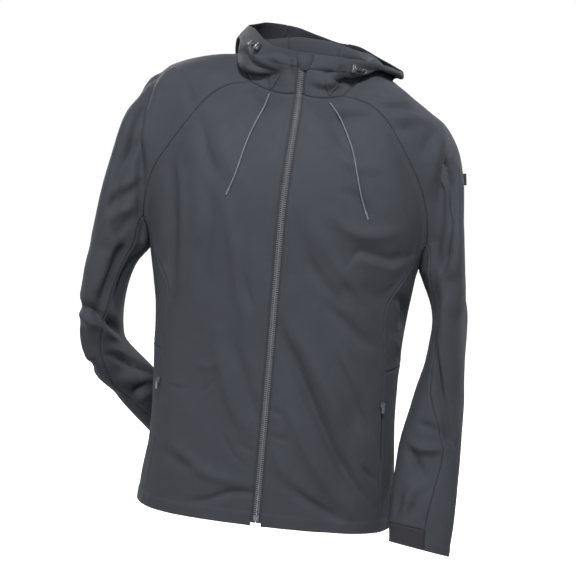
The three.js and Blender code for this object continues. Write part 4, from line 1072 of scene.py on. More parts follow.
class Finish:
    def __init__(self, name, **fixed):
        self.material = bpy.data.materials.new(name)
        self.material.use_nodes = True
        self.tree = self.material.node_tree
        self.shader = self.tree.nodes["Principled BSDF"]
        for key, value in fixed.items():
            self.shader.inputs[key.replace("_", " ")].default_value = value

    def node(self, kind, settings, inputs, output=0):
        # any node: its settings first, then the values or links of its sockets
        node = self.tree.nodes.new(kind)
        for key, value in settings.items():
            if key == "stops":
                ramp = node.color_ramp.elements
                while len(ramp) < len(value):
                    ramp.new(0.5)
                for element, (spot, colour) in zip(ramp, value):
                    element.position, element.color = spot, (*colour, 1)
            else:
                setattr(node, key, value)
        for key, value in inputs.items():
            if isinstance(value, Value):
                self.tree.links.new(value.socket, node.inputs[key])
            else:
                node.inputs[key].default_value = value
        return Value(self.tree, node.outputs[output])

    def blend(self, f, a, b):
        a, b = [(*c, 1) if isinstance(c, tuple) else c for c in (a, b)]
        return self.node("ShaderNodeMix", {"data_type": "RGBA"}, {0: f, 6: a, 7: b}, 2)

    def places(self):
        return self.node("ShaderNodeTexCoord", {}, {}, "Object")

    def clothPlace(self):
        place = self.node("ShaderNodeUVMap", {"uv_map": "cloth"}, {})
        parts = self.tree.nodes.new("ShaderNodeSeparateXYZ")
        self.tree.links.new(place.socket, parts.inputs[0])
        return Value(self.tree, parts.outputs[0]), Value(self.tree, parts.outputs[1])

    def noise(self, scale, detail=3.0, stretch=None):
        where = self.places()
        if stretch:
            where = self.node("ShaderNodeVectorMath", {"operation": "MULTIPLY"}, {0: where, 1: stretch})
        return self.node("ShaderNodeTexNoise", {}, {"Vector": where, "Scale": scale, "Detail": detail})

    def feed(self, **sockets):
        for key, value in sockets.items():
            self.tree.links.new(value.socket, self.shader.inputs[key.replace("_", " ")])

    def bump(self, height, distance, strength=1.0):
        self.feed(Normal=self.node("ShaderNodeBump", {}, {"Height": height, "Distance": distance,
                                                          "Strength": strength}))


class Surround(Finish):
    # the same tools for the nodes of the world
    def __init__(self, world):
        self.tree = world.node_tree


def stretchWoven(name, dark, light, weave, rough, sheen):
    # a fine two-way weave with soft fibres and slow changes of shade
    finish = Finish(name, Sheen_Weight=sheen, Sheen_Roughness=0.45, Sheen_Tint=(0.75, 0.78, 0.85, 1),
                    Specular_IOR_Level=0.07)
    u, v = finish.clothPlace()
    turn = 2 * math.pi / weave
    threads = (u * turn).wave() * (v * turn).wave()
    ribs = ((u + v) * (turn * 0.5)).wave()
    fibres = finish.noise(900.0, 4.0)
    slow = finish.noise(9.0, 2.0)
    worn = finish.noise(60.0, 4.0)
    shade = (0.5 + threads * 0.12 + (fibres - 0.5) * 0.5 + (slow - 0.5) * 0.5 + (worn - 0.5) * 0.3).clamped()
    finish.feed(Base_Color=finish.blend(shade, dark, light),
                Roughness=rough + (fibres - 0.5) * 0.2 + (slow - 0.5) * 0.08)
    finish.bump(threads * 0.5 + ribs * 0.25 + fibres * 0.7, 0.00012)
    return finish.material


def elasticRib(name, dark, light):
    finish = Finish(name, Sheen_Weight=0.04, Sheen_Roughness=0.5, Specular_IOR_Level=0.1)
    u, v = finish.clothPlace()
    ribs = (u * (2 * math.pi / 0.0016)).wave() * 0.5 + 0.5
    fibres = finish.noise(1100.0, 3.0)
    finish.feed(Base_Color=finish.blend((ribs * 0.6 + fibres * 0.4).clamped(), dark, light),
                Roughness=0.78 + (fibres - 0.5) * 0.2)
    finish.bump(ribs + fibres * 0.3, 0.00025)
    return finish.material


def tapeWeave(name, dark, light):
    finish = Finish(name, Sheen_Weight=0.05, Sheen_Roughness=0.4, Specular_IOR_Level=0.15)
    u, v = finish.clothPlace()
    herring = ((v + (u * (2 * math.pi / 0.0042)).wave() * 0.0006) * (2 * math.pi / 0.0011)).wave()
    fibres = finish.noise(1300.0, 3.0)
    finish.feed(Base_Color=finish.blend((herring * 0.3 + 0.25 + fibres * 0.5).clamped(), dark, light),
                Roughness=0.66 + (fibres - 0.5) * 0.2)
    finish.bump(herring * 0.5 + fibres * 0.3, 0.0002)
    return finish.material


def moulded(name, dark, light, rough):
    finish = Finish(name, Specular_IOR_Level=0.35)
    grain = finish.noise(700.0, 3.0)
    wear = finish.noise(120.0, 4.0)
    finish.feed(Base_Color=finish.blend(wear, dark, light), Roughness=rough + (wear - 0.5) * 0.18)
    finish.bump(grain, 0.00006)
    return finish.material


def metal(name, dark, light, rough):
    finish = Finish(name, Metallic=0.85, Specular_IOR_Level=0.5)
    brushed = finish.noise(500.0, 4.0, (1, 1, 0.12))
    wear = finish.noise(90.0, 5.0)
    finish.feed(Base_Color=finish.blend((wear * 0.7 + brushed * 0.3).clamped(), dark, light),
                Roughness=rough + (brushed - 0.5) * 0.2 + (wear - 0.5) * 0.15)
    finish.bump(brushed * 0.5 + wear * 0.5, 0.00005)
    return finish.material


def braid(name, dark, light, pitch):
    # two sets of strands that cross round the cord
    finish = Finish(name, Sheen_Weight=0.08, Sheen_Roughness=0.4, Specular_IOR_Level=0.3)
    u, v = finish.clothPlace()
    along, around = v * (2 * math.pi / pitch), u * (2 * math.pi)
    one, two = (along + around * 2).wave(), (along - around * 2).wave()
    strands = one * two * 0.5 + 0.5
    fibres = finish.noise(1500.0, 3.0)
    finish.feed(Base_Color=finish.blend((strands * 0.7 + fibres * 0.3).clamped(), dark, light),
                Roughness=0.7 + (fibres - 0.5) * 0.2)
    finish.bump(strands + fibres * 0.2, 0.0003)
    return finish.material


finishes = {
    "shell": stretchWoven("softshell", (0.031, 0.0335, 0.0405), (0.057, 0.061, 0.073), 0.0008, 0.75, 0.05),
    "elastic": elasticRib("cuff_elastic", (0.018, 0.0175, 0.0205), (0.042, 0.041, 0.047)),
    # the tape colour is partly the tape's own and partly painted shade: it is darker than the real tape, so the
    # tapes read as the shadowed gaps beside the chain. The pocket tapes and the sleeve tab share this colour.
    "tape": tapeWeave("zip_tape", (0.018, 0.019, 0.023), (0.048, 0.050, 0.058)),
    "tooth": moulded("zip_tooth", (0.080, 0.083, 0.093), (0.160, 0.165, 0.180), 0.34),
    "coil": moulded("zip_coil", (0.018, 0.019, 0.023), (0.042, 0.044, 0.050), 0.36),
    "metal": metal("dark_metal", (0.07, 0.072, 0.078), (0.20, 0.205, 0.22), 0.34),
    "lock": moulded("lock_plastic", (0.024, 0.025, 0.029), (0.056, 0.058, 0.065), 0.3),
    "cord": braid("grey_braid", (0.060, 0.062, 0.071), (0.170, 0.175, 0.195), 0.0032),
    "loop": braid("dark_braid", (0.014, 0.015, 0.018), (0.040, 0.042, 0.050), 0.003),
    "thread": moulded("sewing_thread", (0.018, 0.019, 0.023), (0.042, 0.044, 0.052), 0.6),
}
print("mixed", len(finishes), "finishes")


# The camera stands where the photograph was taken from.
def placeCamera():
    right, up, back = (Vector(axis) for axis in viewAxes())
    turn = Matrix((right, up, back)).transposed().to_4x4()
    turn.translation = (Vector(view["target"]) + back * view["distance"]) * mm
    data = bpy.data.cameras.new("camera")
    data.sensor_width = 36
    data.lens = 36 * view["distance"] / view["mmPerPixel"] / view["photoPixels"]
    camera = bpy.data.objects.new("camera", data)
    camera.matrix_world = turn
    bpy.context.scene.collection.objects.link(camera)
    bpy.context.scene.camera = camera


placeCamera()

for name in panels:
    buildPanel(name)
faces = [len(piece.data.polygons) for piece in bpy.data.objects if piece.name.endswith("_cloth")]
print("draped the cloth:", sum(faces), "faces")


def weighted(panel, away, count, soft):
    # the mean place and direction of a panel's nearest points
    picked = np.argsort(away)[:count]
    weight = (1 / (away[picked] + soft))[:, None]
    points, normals = (panel[key].reshape(-1, 3)[picked] * weight for key in ("points", "normals"))
    return points.sum(0) / weight.sum(), unit(normals.sum(0))


def seatOn(name, target):
    # the nearest place on the draped cloth, with its direction out
    away = np.linalg.norm(finePanels[name]["points"].reshape(-1, 3) - target, axis=1)
    return weighted(finePanels[name], away, 6, 0.3)


def evenly(points, count=None, step=None):
    # a smooth line through the points, cut into equal lengths
    dense = easedLine(points, 24)
    gone = np.concatenate([[0], np.cumsum(np.linalg.norm(np.diff(dense, axis=0), axis=1))])
    count = count or max(int(round(gone[-1] / step)), 1) + 1
    at = np.linspace(0, gone[-1], count)
    return np.stack([np.interp(at, gone, dense[:, k]) for k in range(3)], -1), gone[-1]


def frames(path, hint):
    # tangents, and two directions across a path that don't spin
    ahead = unit(np.gradient(path, axis=0))
    side = unit(np.cross(ahead, np.broadcast_to(hint, path.shape)))
    return ahead, side, np.cross(side, ahead)


def tube(name, path, radii, hint=(0, -1, 0), around=12):
    # a closed round bar along a path, with bevelled ends
    path = np.asarray(path, float)
    ahead, side, up = frames(path, hint)
    radii = np.broadcast_to(radii, len(path)).astype(float)
    bevel = math.sqrt(0.5)
    first = path[0] - ahead[0] * radii[0] * bevel
    last = path[-1] + ahead[-1] * radii[-1] * bevel
    rows = [(first, radii[0] * bevel, 0), *zip(path, radii, range(len(path))), (last, radii[-1] * bevel, -1)]
    turn = np.linspace(0, 2 * math.pi, around, endpoint=False)
    rings, uv, gone = [], [], 0
    for k, (centre, radius, i) in enumerate(rows):
        gone += np.linalg.norm(centre - rows[k - 1][0]) if k else 0
        rings.append(centre + radius * (np.cos(turn)[:, None] * side[i] + np.sin(turn)[:, None] * up[i]))
        uv.append(np.stack([turn / (2 * math.pi), np.full(around, gone * mm)], -1))
    return newObject(name, *sections(rings), np.concatenate(uv))


def many(name, points, faces, places):
    # copies of one small shape in one mesh; each place is an origin and three directions
    points, count = np.asarray(points, float), len(points)
    moved = [origin + points @ np.array(turn) for origin, turn in places]
    every = [[i + k * count for i in f] for k in range(len(moved)) for f in faces]
    return newObject(name, np.concatenate(moved), every)


def sections(rings):
    # a closed shape lofted through rings of equal length
    index = np.arange(len(rings) * len(rings[0])).reshape(len(rings), -1)
    after = np.roll(index, -1, 1)
    faces = np.stack([index[:-1], after[:-1], after[1:], index[1:]], -1).reshape(-1, 4).tolist()
    faces += [index[0, ::-1].tolist(), index[-1].tolist()]
    return np.concatenate([np.asarray(ring, float) for ring in rings]), faces


def roundedBox(wide, tall, share, corner):
    # a ring in two directions with rounded corners
    turn = np.linspace(0, 2 * math.pi, 4 * corner, endpoint=False) + math.pi / (4 * corner)
    ring = np.stack([np.cos(turn), np.sin(turn)], -1)
    return np.sign(ring) * np.abs(ring) ** share * (wide / 2, tall / 2)


def lofted(rows, share, corner, order=(0, 1, 2)):
    # rounded boxes in a row, each with its place, width, height and how far it is let down
    rings = []
    for spot, wide, tall, drop in rows:
        ring = roundedBox(wide, tall, share, corner)
        rings.append(np.stack([np.full(len(ring), spot), ring[:, 0], ring[:, 1] - drop], -1)[:, order])
    return sections(rings)


# Sewing threads: short stitches laid along a line on the cloth.
stitch = {"length": 2.3, "pitch": 3.1, "wide": 0.55, "high": 0.4, "sunk": 0.1, "droop": 0.22,
          "sizes": ((-1, 0.35), (-0.7, 0.85), (0.7, 0.85), (1, 0.35))}


def stitches(name, line, normals):
    path, _ = evenly(line, step=stitch["pitch"])
    spots = np.linspace(0, len(line) - 1, len(path))
    out = unit(resample(np.asarray(normals, float), spots, 0))
    ahead = unit(np.gradient(path, axis=0))
    across = unit(np.cross(out, ahead))
    wide, high = stitch["wide"], stitch["high"]
    half, droop = stitch["length"] / 2, stitch["droop"]
    points, faces = lofted([(f * half, wide * s, high * s, droop * f * f) for f, s in stitch["sizes"]], 0.8, 2)
    rise = high / 2 - stitch["sunk"]
    places = [(p + n * rise, (a, c, n)) for p, a, c, n in zip(path, ahead, across, out)]
    settle(many(name, points, faces, places), "thread")


def lineOn(name, edge, away):
    # a line on a fine panel that keeps a distance from one of its edges
    axis, last = divmod(edge, 2)
    rows = [finePanels[name][key] for key in ("points", "normals")]
    rows.append(edgeDistances(rows[0])[edge])
    points, normals, distance = (np.moveaxis(v, axis, 0)[::-1 if last else 1] for v in rows)
    index = np.argmax(distance >= away, axis=0)
    pick = index, np.arange(distance.shape[1])
    before = index - 1, pick[1]
    f = ((away - distance[before]) / np.maximum(distance[pick] - distance[before], 1e-6))[:, None]
    return mix(points[before], points[pick], f), unit(mix(normals[before], normals[pick], f))


for word in ("left", "right"):
    for seam, panel, edge, away in (("hem_stitches_front", "front_{}", 2, "hemFold"),
                                    ("hem_stitches_side", "side_{}_lower", 2, "hemFold"),
                                    ("cuff_stitches", "sleeve_{}_outer", 1, "cuffFold"),
                                    ("band_stitches", "cuff_{}_band", 2, "bandFold"),
                                    ("rim_stitches", "hood_{}", 3, "rimFold")):
        stitches(f"{seam}_{word}", *lineOn(panel.format(word), edge, cloth[away]))
stitches("rim_stitches_centre", *lineOn("hood_centre", 3, cloth["rimFold"]))
stitches("hem_stitches_back", *lineOn("back", 2, cloth["hemFold"]))
print("sewed the stitches")


# The main zip: tapes between the two front edges, moulded teeth, an end box, and the slider at the collar.
zip_ = {"rows": 520, "hoodRows": 81, "rowStep": 1.4, "tapeDeep": -1.0, "tapeThick": 0.8, "pitch": 3.3,
        "toothHigh": 1.7, "toothThick": 2.5, "top": 0.955, "toothDeep": -0.2,
        "box": (8.2, 9.5, 3.6), "boxEase": 0.6,
        # across the tape: share of the way to the cloth's edge, and how far it swells
        "tape": [(0.05, 0.2), (0.20, 0.75), (0.28, 0.85), (0.36, 0.55), (0.44, 0.1), (0.55, 0), (0.7, 0),
                 (0.85, 0), (0.97, 0), (1.03, -0.1)],
        # along a tooth from its tail to its head: place, height and thickness as shares
        "teeth": [(-4.4, 0.75, 0.75), (-4, 1, 1), (-0.9, 0.92, 1), (-0.1, 0.62, 0.9), (0.5, 0.95, 0.9),
                  (0.85, 0.6, 0.6)]}


def zipEdge(side):
    word = "left" if side > 0 else "right"
    lower, _ = evenly(finePanels[f"front_{word}"]["points"][0], count=zip_["rows"])
    upper, _ = evenly(finePanels[f"hood_{word}"]["points"][0 if side > 0 else -1], count=zip_["hoodRows"])
    return np.concatenate([lower, upper[1:]])


def zipGrid(edges, spans, deep):
    right, left = edges
    across = unit(left - right)
    up = unit(np.gradient((left + right) / 2, axis=0))
    out = unit(np.cross(across, up))
    middle, half = (left + right) / 2, np.linalg.norm(left - right, axis=1) / 2
    lines = [middle + across * (share * half)[:, None] + out * d for share, d in zip(spans, deep)]
    return np.stack(lines), out, across, up


def buildZip():
    edges = zipEdge(-1), zipEdge(1)
    last = int(len(edges[0]) * zip_["top"])
    edges = tuple(e[4:last] for e in edges)
    for side, word in ((-1, "right"), (1, "left")):
        spans, swell = np.array(zip_["tape"]).T
        outward, out, across, up = zipGrid(edges, spans * side, zip_["tapeDeep"] + swell)
        tall = np.arange(outward.shape[1]) * zip_["rowStep"] * mm
        wide = spans * cut["zipHalf"] * mm
        uv = np.stack(np.broadcast_arrays(wide[:, None], tall[None]), -1).reshape(-1, 2)
        inward = outward - out * zip_["tapeThick"]
        settle(closedWall(f"main_zip_tape_{word}_cloth", outward, inward, side, uv), "tape",
               nodes=[f"main_zip_tape_{word}"])
    lines, *turns = zipGrid(edges, [0.0], [zip_["toothDeep"]])
    centre, _ = evenly(lines[0], step=zip_["pitch"] / 2)
    at = np.linspace(0, len(lines[0]) - 1, len(centre))
    out, across, up = (unit(resample(v, at, 0)) for v in turns)
    high, thick = zip_["toothHigh"], zip_["toothThick"]
    points, faces = lofted([(x, high * tall, thick * deep, 0) for x, tall, deep in zip_["teeth"]], 0.7, 3)
    places = []
    for k in range(4, len(centre) - 1):
        way = 1 if k % 2 else -1
        places.append((centre[k], (across[k] * way, up[k], out[k] * way)))
    settle(many("main_zip_teeth", points, faces, places), "tooth", nodes=["main_zip_chain"])
    wide, tall, thick = zip_["box"]
    shoulder = tall / 2 - zip_["boxEase"]
    rows = [(-tall / 2, 0.86), (-shoulder, 1), (shoulder, 1), (tall / 2, 0.86)]
    points, faces = lofted([(z, wide * size, thick * size, 0) for z, size in rows], 0.4, 4, (1, 2, 0))
    places = [(centre[5] - up[5], (across[5], out[5], up[5]))]
    settle(many("main_zip_end_box", points, faces, places), "tooth")


buildZip()


# The chin guard: a small flap of the same cloth folded over the top of the zip, stitched round its edge.
guard = {"top": 8, "foot": -19.5, "thick": 1.5, "stitchIn": 2.8, "columns": 40, "rows": 44,
         "flat": (0.031, 0.029), "area": 0.0006,
         "stitches": [(0.12, 0.08), (0.12, 0.3), (0.13, 0.5), (0.16, 0.68), (0.24, 0.82), (0.4, 0.87),
                      (0.6, 0.87), (0.78, 0.82), (0.87, 0.68), (0.89, 0.5), (0.89, 0.3), (0.89, 0.08)]}


def zipLine(z):
    # the middle of the front, up the torso and the collar
    z = np.asarray(z, float)
    up = (z + 56) / 64.5
    low = frontPoint(1, np.zeros_like(z), np.clip((z - cut["hem"]) / (-56 - cut["hem"]), 0, 1))
    high = hoodPoint(np.zeros_like(z), np.clip(up, 0, 1))
    y = np.where(z < -56, low[..., 1], high[..., 1])
    return place(zipLean(z), y, z)


def guardPoint(u, v):
    z = mix(guard["top"], guard["foot"], v)
    right = -4 + 17 * (1 - np.sqrt(np.maximum(1 - v * v, 0)))
    left = 22 - 8 * v * v
    x = mix(right, left, u)
    dome = 2.3 + 5.2 * np.abs(np.sin(np.pi * u)) ** 0.6 * (1 - v ** 3)
    return place(x, zipLine(z)[..., 1] + (x - cut["neckCentre"]) ** 2 / 190 - dome, z)


def buildGuard():
    u = (1 - np.cos(np.linspace(0, np.pi, guard["columns"]))) / 2
    v = 0.96 * (1 - np.cos(np.linspace(0, np.pi, guard["rows"]))) / 2
    points = guardPoint(*np.meshgrid(u, v, indexing="ij"))
    normals = unit(np.cross(np.gradient(points, axis=1), np.gradient(points, axis=0)))
    normals[[0, -1]] = normals[[2, -3]]
    distances = edgeDistances(points)
    fromStitch = nearest(distances, (1, 1, 1, 1)) - guard["stitchIn"]
    hem = 1 - smooth((fromStitch + 0.8) / 1.4)
    lift = 0.35 * (hem - bump(fromStitch, 0.7)) + 0.25 * softNoise(points, 9)
    thin = roundedThickness(distances, guard["thick"], 0.8, 0.35)
    piece = clothWall("chin_guard", points, normals, lift, distances, -1, guard["thick"], thin)
    settle(piece, "shell", nodes=["chin_guard"])
    spots = np.array([seatOn("chin_guard", guardPoint(*np.array(spot))) for spot in guard["stitches"]])
    stitches("chin_guard_stitches", spots[:, 0], spots[:, 1])


buildGuard()
bpy.data.objects["main_zip_slider"].data.materials.clear()
bpy.data.objects["main_zip_slider"].data.materials.append(finishes["metal"])
print("closed the main zip")


# The side pockets: a coil zip in the front side seam, a slider at its top and a tab that swings on it.
pocketParts = {
    "coilPitch": 1.25, "coilWide": 2.6, "coilThick": 1.1, "coilUp": 0.9, "wire": 0.36, "step": 0.9,
    "tapeHalf": 2.6, "tapeUp": 0.45, "tapeThick": 0.7, "barHalf": 3.2, "barRadius": 0.75,
    "body": 2.2, "bodyDeep": 2.9, "axle": 5.6, "bridge": 0.62, "tab": 15, "tabHalf": 2.5, "tabThick": 1.2,
    "bodyShape": [(-2.6, -4.5), (2.6, -4.5), (3.1, -3.4), (3.2, 0.5), (3.2, 2.8), (2.4, 4.2), (0.9, 4.5), (0, 3.9),
                  (-0.9, 4.5), (-2.4, 4.2), (-3.2, 2.8), (-3.2, 0.5), (-3.1, -3.4)],
    "eye": [(1.15, 1.3), (1.15, -2.8), (0.7, -3.4), (-0.7, -3.4), (-1.15, -2.8), (-1.15, 1.3), (-1.8, 1.6)],
}


def plate(name, outline, thick, bevel, turn, origin):
    # a flat shape with rounded edges; the outline is in the plane of the first and third directions
    outline = np.asarray(outline, float)
    ahead = unit(np.roll(outline, -1, 0) - np.roll(outline, 1, 0))
    normal = np.stack([ahead[:, 1], -ahead[:, 0]], -1)
    half = []
    for f in (1, 0.45, 0.08):
        rise = 0 if f == 1 else 1 - math.sqrt(1 - (1 - f) ** 2)
        edge = outline - normal * bevel * f
        half.append((edge, -thick / 2 + bevel * rise))
    rings = [np.stack([o[:, 0], np.full(len(o), d), o[:, 1]], -1) for o, d in half]
    rings += [np.stack([o[:, 0], np.full(len(o), -d), o[:, 1]], -1) for o, d in reversed(half)]
    return many(name, *sections(rings), [(origin, turn)])


def pocketSeat(side):
    top = armholePoint(side, cut["sideCorner"])

    def seamAt(turned, z):
        z = np.asarray(z, float)

        def angleAt(h):
            return frontSeam.read("angle", h) + turned
        return column(side, np.broadcast_to(top, z.shape + (3,)), angleAt, z)
    height = pocket["top"] - pocket["sliderDown"]
    foot = seamAt(0, height)
    up = unit(seamAt(0, height + 4) - seamAt(0, height - 4))
    across = unit((seamAt(1, height) - seamAt(-1, height)) * side)
    inward = unit(np.cross(up, across))
    level = np.cross(inward, up)
    return foot, (level, np.cross(up, level), up)


def buildPocket(side, word):
    parts = pocketParts
    foot, turn = pocketSeat(side)
    level, inward, up = turn
    line = finePanels[f"front_{word}"]["points"][-1]
    normals = finePanels[f"front_{word}"]["normals"][-1]
    chosen = (line[:, 2] > pocket["foot"]) & (line[:, 2] < pocket["top"])
    path, length = evenly(line[chosen], step=parts["step"])
    out = unit(resample(normals[chosen], np.linspace(0, chosen.sum() - 1, len(path)), 0))
    ahead = unit(np.gradient(path, axis=0))
    across = unit(np.cross(ahead, out))
    # the coil: one long thread wound flat
    turns = length / parts["coilPitch"]
    t = np.linspace(0, 1, int(turns * 10))
    at = t * (len(path) - 1)
    p, o, c = resample(path, at, 0), unit(resample(out, at, 0)), unit(resample(across, at, 0))
    angle = t * turns * 2 * math.pi
    wound = (p + c * (np.cos(angle) * parts["coilWide"] / 2)[:, None]
             + o * (np.sin(angle) * parts["coilThick"] / 2 + parts["coilUp"])[:, None])
    coil = tube(f"pocket_{word}_coil", wound, parts["wire"], around=5)
    settle(coil, "coil", nodes=[f"pocket_{word}_zip"])
    # the tape under the coil, with a bar of thread at its foot
    spans = np.linspace(-parts["tapeHalf"], parts["tapeHalf"], 7)
    rise = parts["tapeUp"] - spans ** 2 * 0.05
    tape = path + across * spans[:, None, None] + out * rise[:, None, None]
    tall = np.arange(len(path)) * parts["step"] * mm
    uv = np.stack(np.broadcast_arrays(spans[:, None] * mm, tall[None]), -1).reshape(-1, 2)
    piece = closedWall(f"pocket_{word}_tape", tape, tape - out * parts["tapeThick"], -1, uv)
    settle(piece, "tape")
    for k, end in enumerate((0, -1)):
        spots = np.linspace(-parts["barHalf"], parts["barHalf"], 5)
        bar = [path[end] + across[end] * x + out[end] for x in spots]
        piece = tube(f"pocket_{word}_bartack_{k + 1}", bar, parts["barRadius"], around=10)
        settle(piece, "thread")
    # the slider's body with its bridge
    depth, axle = parts["bodyDeep"], parts["axle"]
    centre = foot - inward * depth
    piece = plate(f"pocket_{word}_slider_body", parts["bodyShape"], parts["body"], 0.55, turn, centre)
    settle(piece, "metal", nodes=[f"pocket_{word}_slider"])
    arch = [(depth + 0.9, 3.2), (axle + 0.7, 2.4), (axle + 1.5, 0), (axle + 0.7, -2.4), (depth + 0.9, -3.2)]
    bridge, _ = evenly([foot - inward * b + up * c for b, c in arch], count=14)
    settle(tube(f"pocket_{word}_bridge", bridge, parts["bridge"], hint=level, around=10), "metal")
    # the pull tab: a fork that closes round the bridge, with a round grip at its foot
    half, low = parts["tabHalf"], 2.6 - parts["tab"]
    foots = [(-half * math.cos(a), low - 2.6 * math.sin(a)) for a in np.linspace(0.3, 2.84, 9)]
    fork = [*parts["eye"], (-half, 1.1), (-half, low), *foots, (half, low), (half, 1.1), (1.8, 1.6)]
    pull = plate(f"pocket_{word}_pull_tab", fork[::-1], parts["tabThick"], 0.3, turn, foot - inward * axle)
    settle(pull, "metal", f"{word}_pull", [f"pocket_{word}_pull"])


for side, word in ((1, "left"), (-1, "right")):
    buildPocket(side, word)
print("set the pocket zips")


# The drawcords hang down the front from small loops at the neck seam. Routes are in x and z, as in the CAD.
cords = {"radius": 1.25, "tipRadius": 1.75, "lift": 1.1,
         "right": [(-42, -60), (-47, -79), (-61, -117), (-70, -152), (-77, -185), (-85, -208)],
         "left": [(53, -66), (67, -82), (85, -111), (100, -142), (110, -178), (120, -212), (126, -226)],
         "rightTip": [(-85.3, -208.8), (-89.5, -219.5)], "leftTip": [(126.2, -226.9), (129, -238)],
         "loopRadius": 0.95,
         "rightLoop": [(319, 0.2), (323, 0.12), (327.5, 0.05), (330, 0.02), (332.5, 0.05), (336, 0.14),
                       (338, 0.24)],
         "leftLoop": [(38, 0.2), (35, 0.12), (31.5, 0.05), (29, 0.02), (27, 0.05), (24, 0.14), (22, 0.24)]}


def onFront(word, line, lift):
    # the places on the draped front seen from straight ahead
    panel = finePanels[f"front_{word}"]
    flat = panel["points"].reshape(-1, 3)[:, ::2]
    found = []
    for x, _, z in line:
        middle, out = weighted(panel, np.linalg.norm(flat - (x, z), axis=1), 4, 0.2)
        found.append(np.array([x, middle[1], z]) + out * lift)
    return np.array(found)


def buildCord(side, word):
    route = np.array([(x, 0, z) for x, z in cords[word]], float)
    line, _ = evenly(route, count=36)
    path = onFront(word, line, cords["radius"] + cords["lift"])
    for _ in range(6):
        path[1:-1] = (path[:-2] + 2 * path[1:-1] + path[2:]) / 4
    path, length = evenly(path, count=36)
    path[:, 1] -= 0.5 * np.sin(np.linspace(0, math.pi, 36)) ** 2
    cord = tube(f"drawcord_{word}_braid", evenly(path, step=1.1)[0], cords["radius"], around=12)
    settle(cord, "cord", nodes=[f"drawcord_{word}"])
    ends = cords[word + "Tip"]
    ahead = unit(path[-1] - path[-3])
    tipLength = math.hypot(ends[1][0] - ends[0][0], ends[1][1] - ends[0][1])
    spots = [(-2.2, 0.72), (-2, 0.95), (-1.2, 1), (tipLength * 0.3, 0.93), (tipLength * 0.75, 1),
             (tipLength - 0.9, 0.98), (tipLength - 0.3, 0.8), (tipLength, 0.5)]
    tip = tube(f"drawcord_{word}_end", [path[-1] + ahead * d for d, _ in spots],
               [cords["tipRadius"] * r for _, r in spots], around=14)
    settle(tip, "tooth", nodes=[f"drawcord_{word}_tip"])
    whole, total = evenly(path, count=30)
    # the loop that the cord hangs from
    spots = [seatOn(f"hood_{word}", hoodPoint(*np.array(spot))) for spot in cords[word + "Loop"]]
    loop = [p + n * (cords["loopRadius"] + 0.5) for p, n in spots]
    path, _ = evenly(loop, step=1.2)
    settle(tube(f"cord_loop_{word}_braid", path, cords["loopRadius"], around=10), "loop",
           nodes=[f"cord_loop_{word}"])
    print(f"  drawcord {word} {total:.0f} mm and a tip of {tipLength:.0f} mm")


for side, word in ((1, "left"), (-1, "right")):
    buildCord(side, word)


# On the rim of the hood: an eyelet, a barrel lock and the stretch of cord between them.
rim = {
    "right": {"eyelet": (299, 0.96), "lock": (314, 0.96)}, "left": {"eyelet": (60, 0.9), "lock": (47, 0.9)},
    "ringRadius": 3.5, "ringThick": 1.0, "cordRadius": 1.15, "cordRise": 2.2, "lockRadius": 4.4, "lockLong": 13,
    "lockProfile": [(2.0, -0.5), (3.6, -0.49), (4.1, -0.46), (4.4, -0.4), (4.4, 0.08), (3.9, 0.12),
                    (3.9, 0.15), (3.7, 0.17), (3.7, 0.42), (3.4, 0.47), (2.6, 0.5), (1.4, 0.51)],
}


def aroundAxis(axis):
    axis = unit(np.asarray(axis, float))
    side = unit(np.cross(axis, (0.3, 0.2, 0.93)))
    return axis, side, np.cross(axis, side)


def turned(name, profile, centre, axis, around=28):
    # a turned piece: the profile gives radius and height along the axis
    axis, side, front = aroundAxis(axis)
    turn = np.linspace(0, 2 * math.pi, around, endpoint=False)
    circle = np.cos(turn)[:, None] * side + np.sin(turn)[:, None] * front
    return newObject(name, *sections([centre + axis * h + circle * r for r, h in profile]))


def ringPiece(name, centre, axis, radius, thick):
    # a rolled ring, flatter on the side of the cloth
    axis, side, front = aroundAxis(axis)
    count, small = 32, 10
    points = []
    for a in np.linspace(0, 2 * math.pi, count, endpoint=False):
        outward = math.cos(a) * side + math.sin(a) * front
        for b in np.linspace(0, 2 * math.pi, small, endpoint=False):
            rise = math.sin(b) * (1.0 if math.sin(b) > 0 else 0.4)
            points.append(centre + (radius + thick * 1.25 * math.cos(b)) * outward + axis * thick * rise)
    index = np.arange(count * small).reshape(count, small)
    after = np.roll(index, -1, 0)
    faces = np.stack([index, after, np.roll(after, -1, 1), np.roll(index, -1, 1)], -1)
    return newObject(name, points, faces.reshape(-1, 4).tolist())


def buildRim(word):
    radius, long = rim["lockRadius"], rim["lockLong"]
    ringAt, ringOut = seatOn(f"hood_{word}", hoodPoint(*np.array(rim[word]["eyelet"])))
    centre = ringAt + ringOut * 0.5
    eyelet = ringPiece(f"eyelet_{word}_ring", centre, ringOut, rim["ringRadius"], rim["ringThick"])
    settle(eyelet, "metal", nodes=[f"eyelet_{word}"])
    spot = np.array(rim[word]["lock"])
    lockAt, lockOut = seatOn(f"hood_{word}", hoodPoint(*spot))
    lockAt = lockAt + lockOut * (radius + 0.3)
    raised = unit(hoodPoint(*(spot + (0, 0.01))) - hoodPoint(*(spot - (0, 0.01))))
    profile = [(r, h * long) for r, h in rim["lockProfile"]]
    barrel = turned(f"cord_lock_{word}_barrel", profile, lockAt, raised)
    settle(barrel, "lock", nodes=[f"cord_lock_{word}"])
    away = unit(lockAt - ringAt)
    start, end = ringAt + ringOut * 0.2, lockAt - away * (radius - 0.6)
    rise = ringOut * rim["cordRise"]
    path, _ = evenly([start, start + rise + away * 1.5, (start + end) / 2 + rise, end], step=1.0)
    settle(tube(f"rim_cord_{word}_braid", path, rim["cordRadius"], around=10), "loop",
           nodes=[f"rim_cord_{word}"])


for word in ("left", "right"):
    buildRim(word)
print("fitted the cords and the rim")


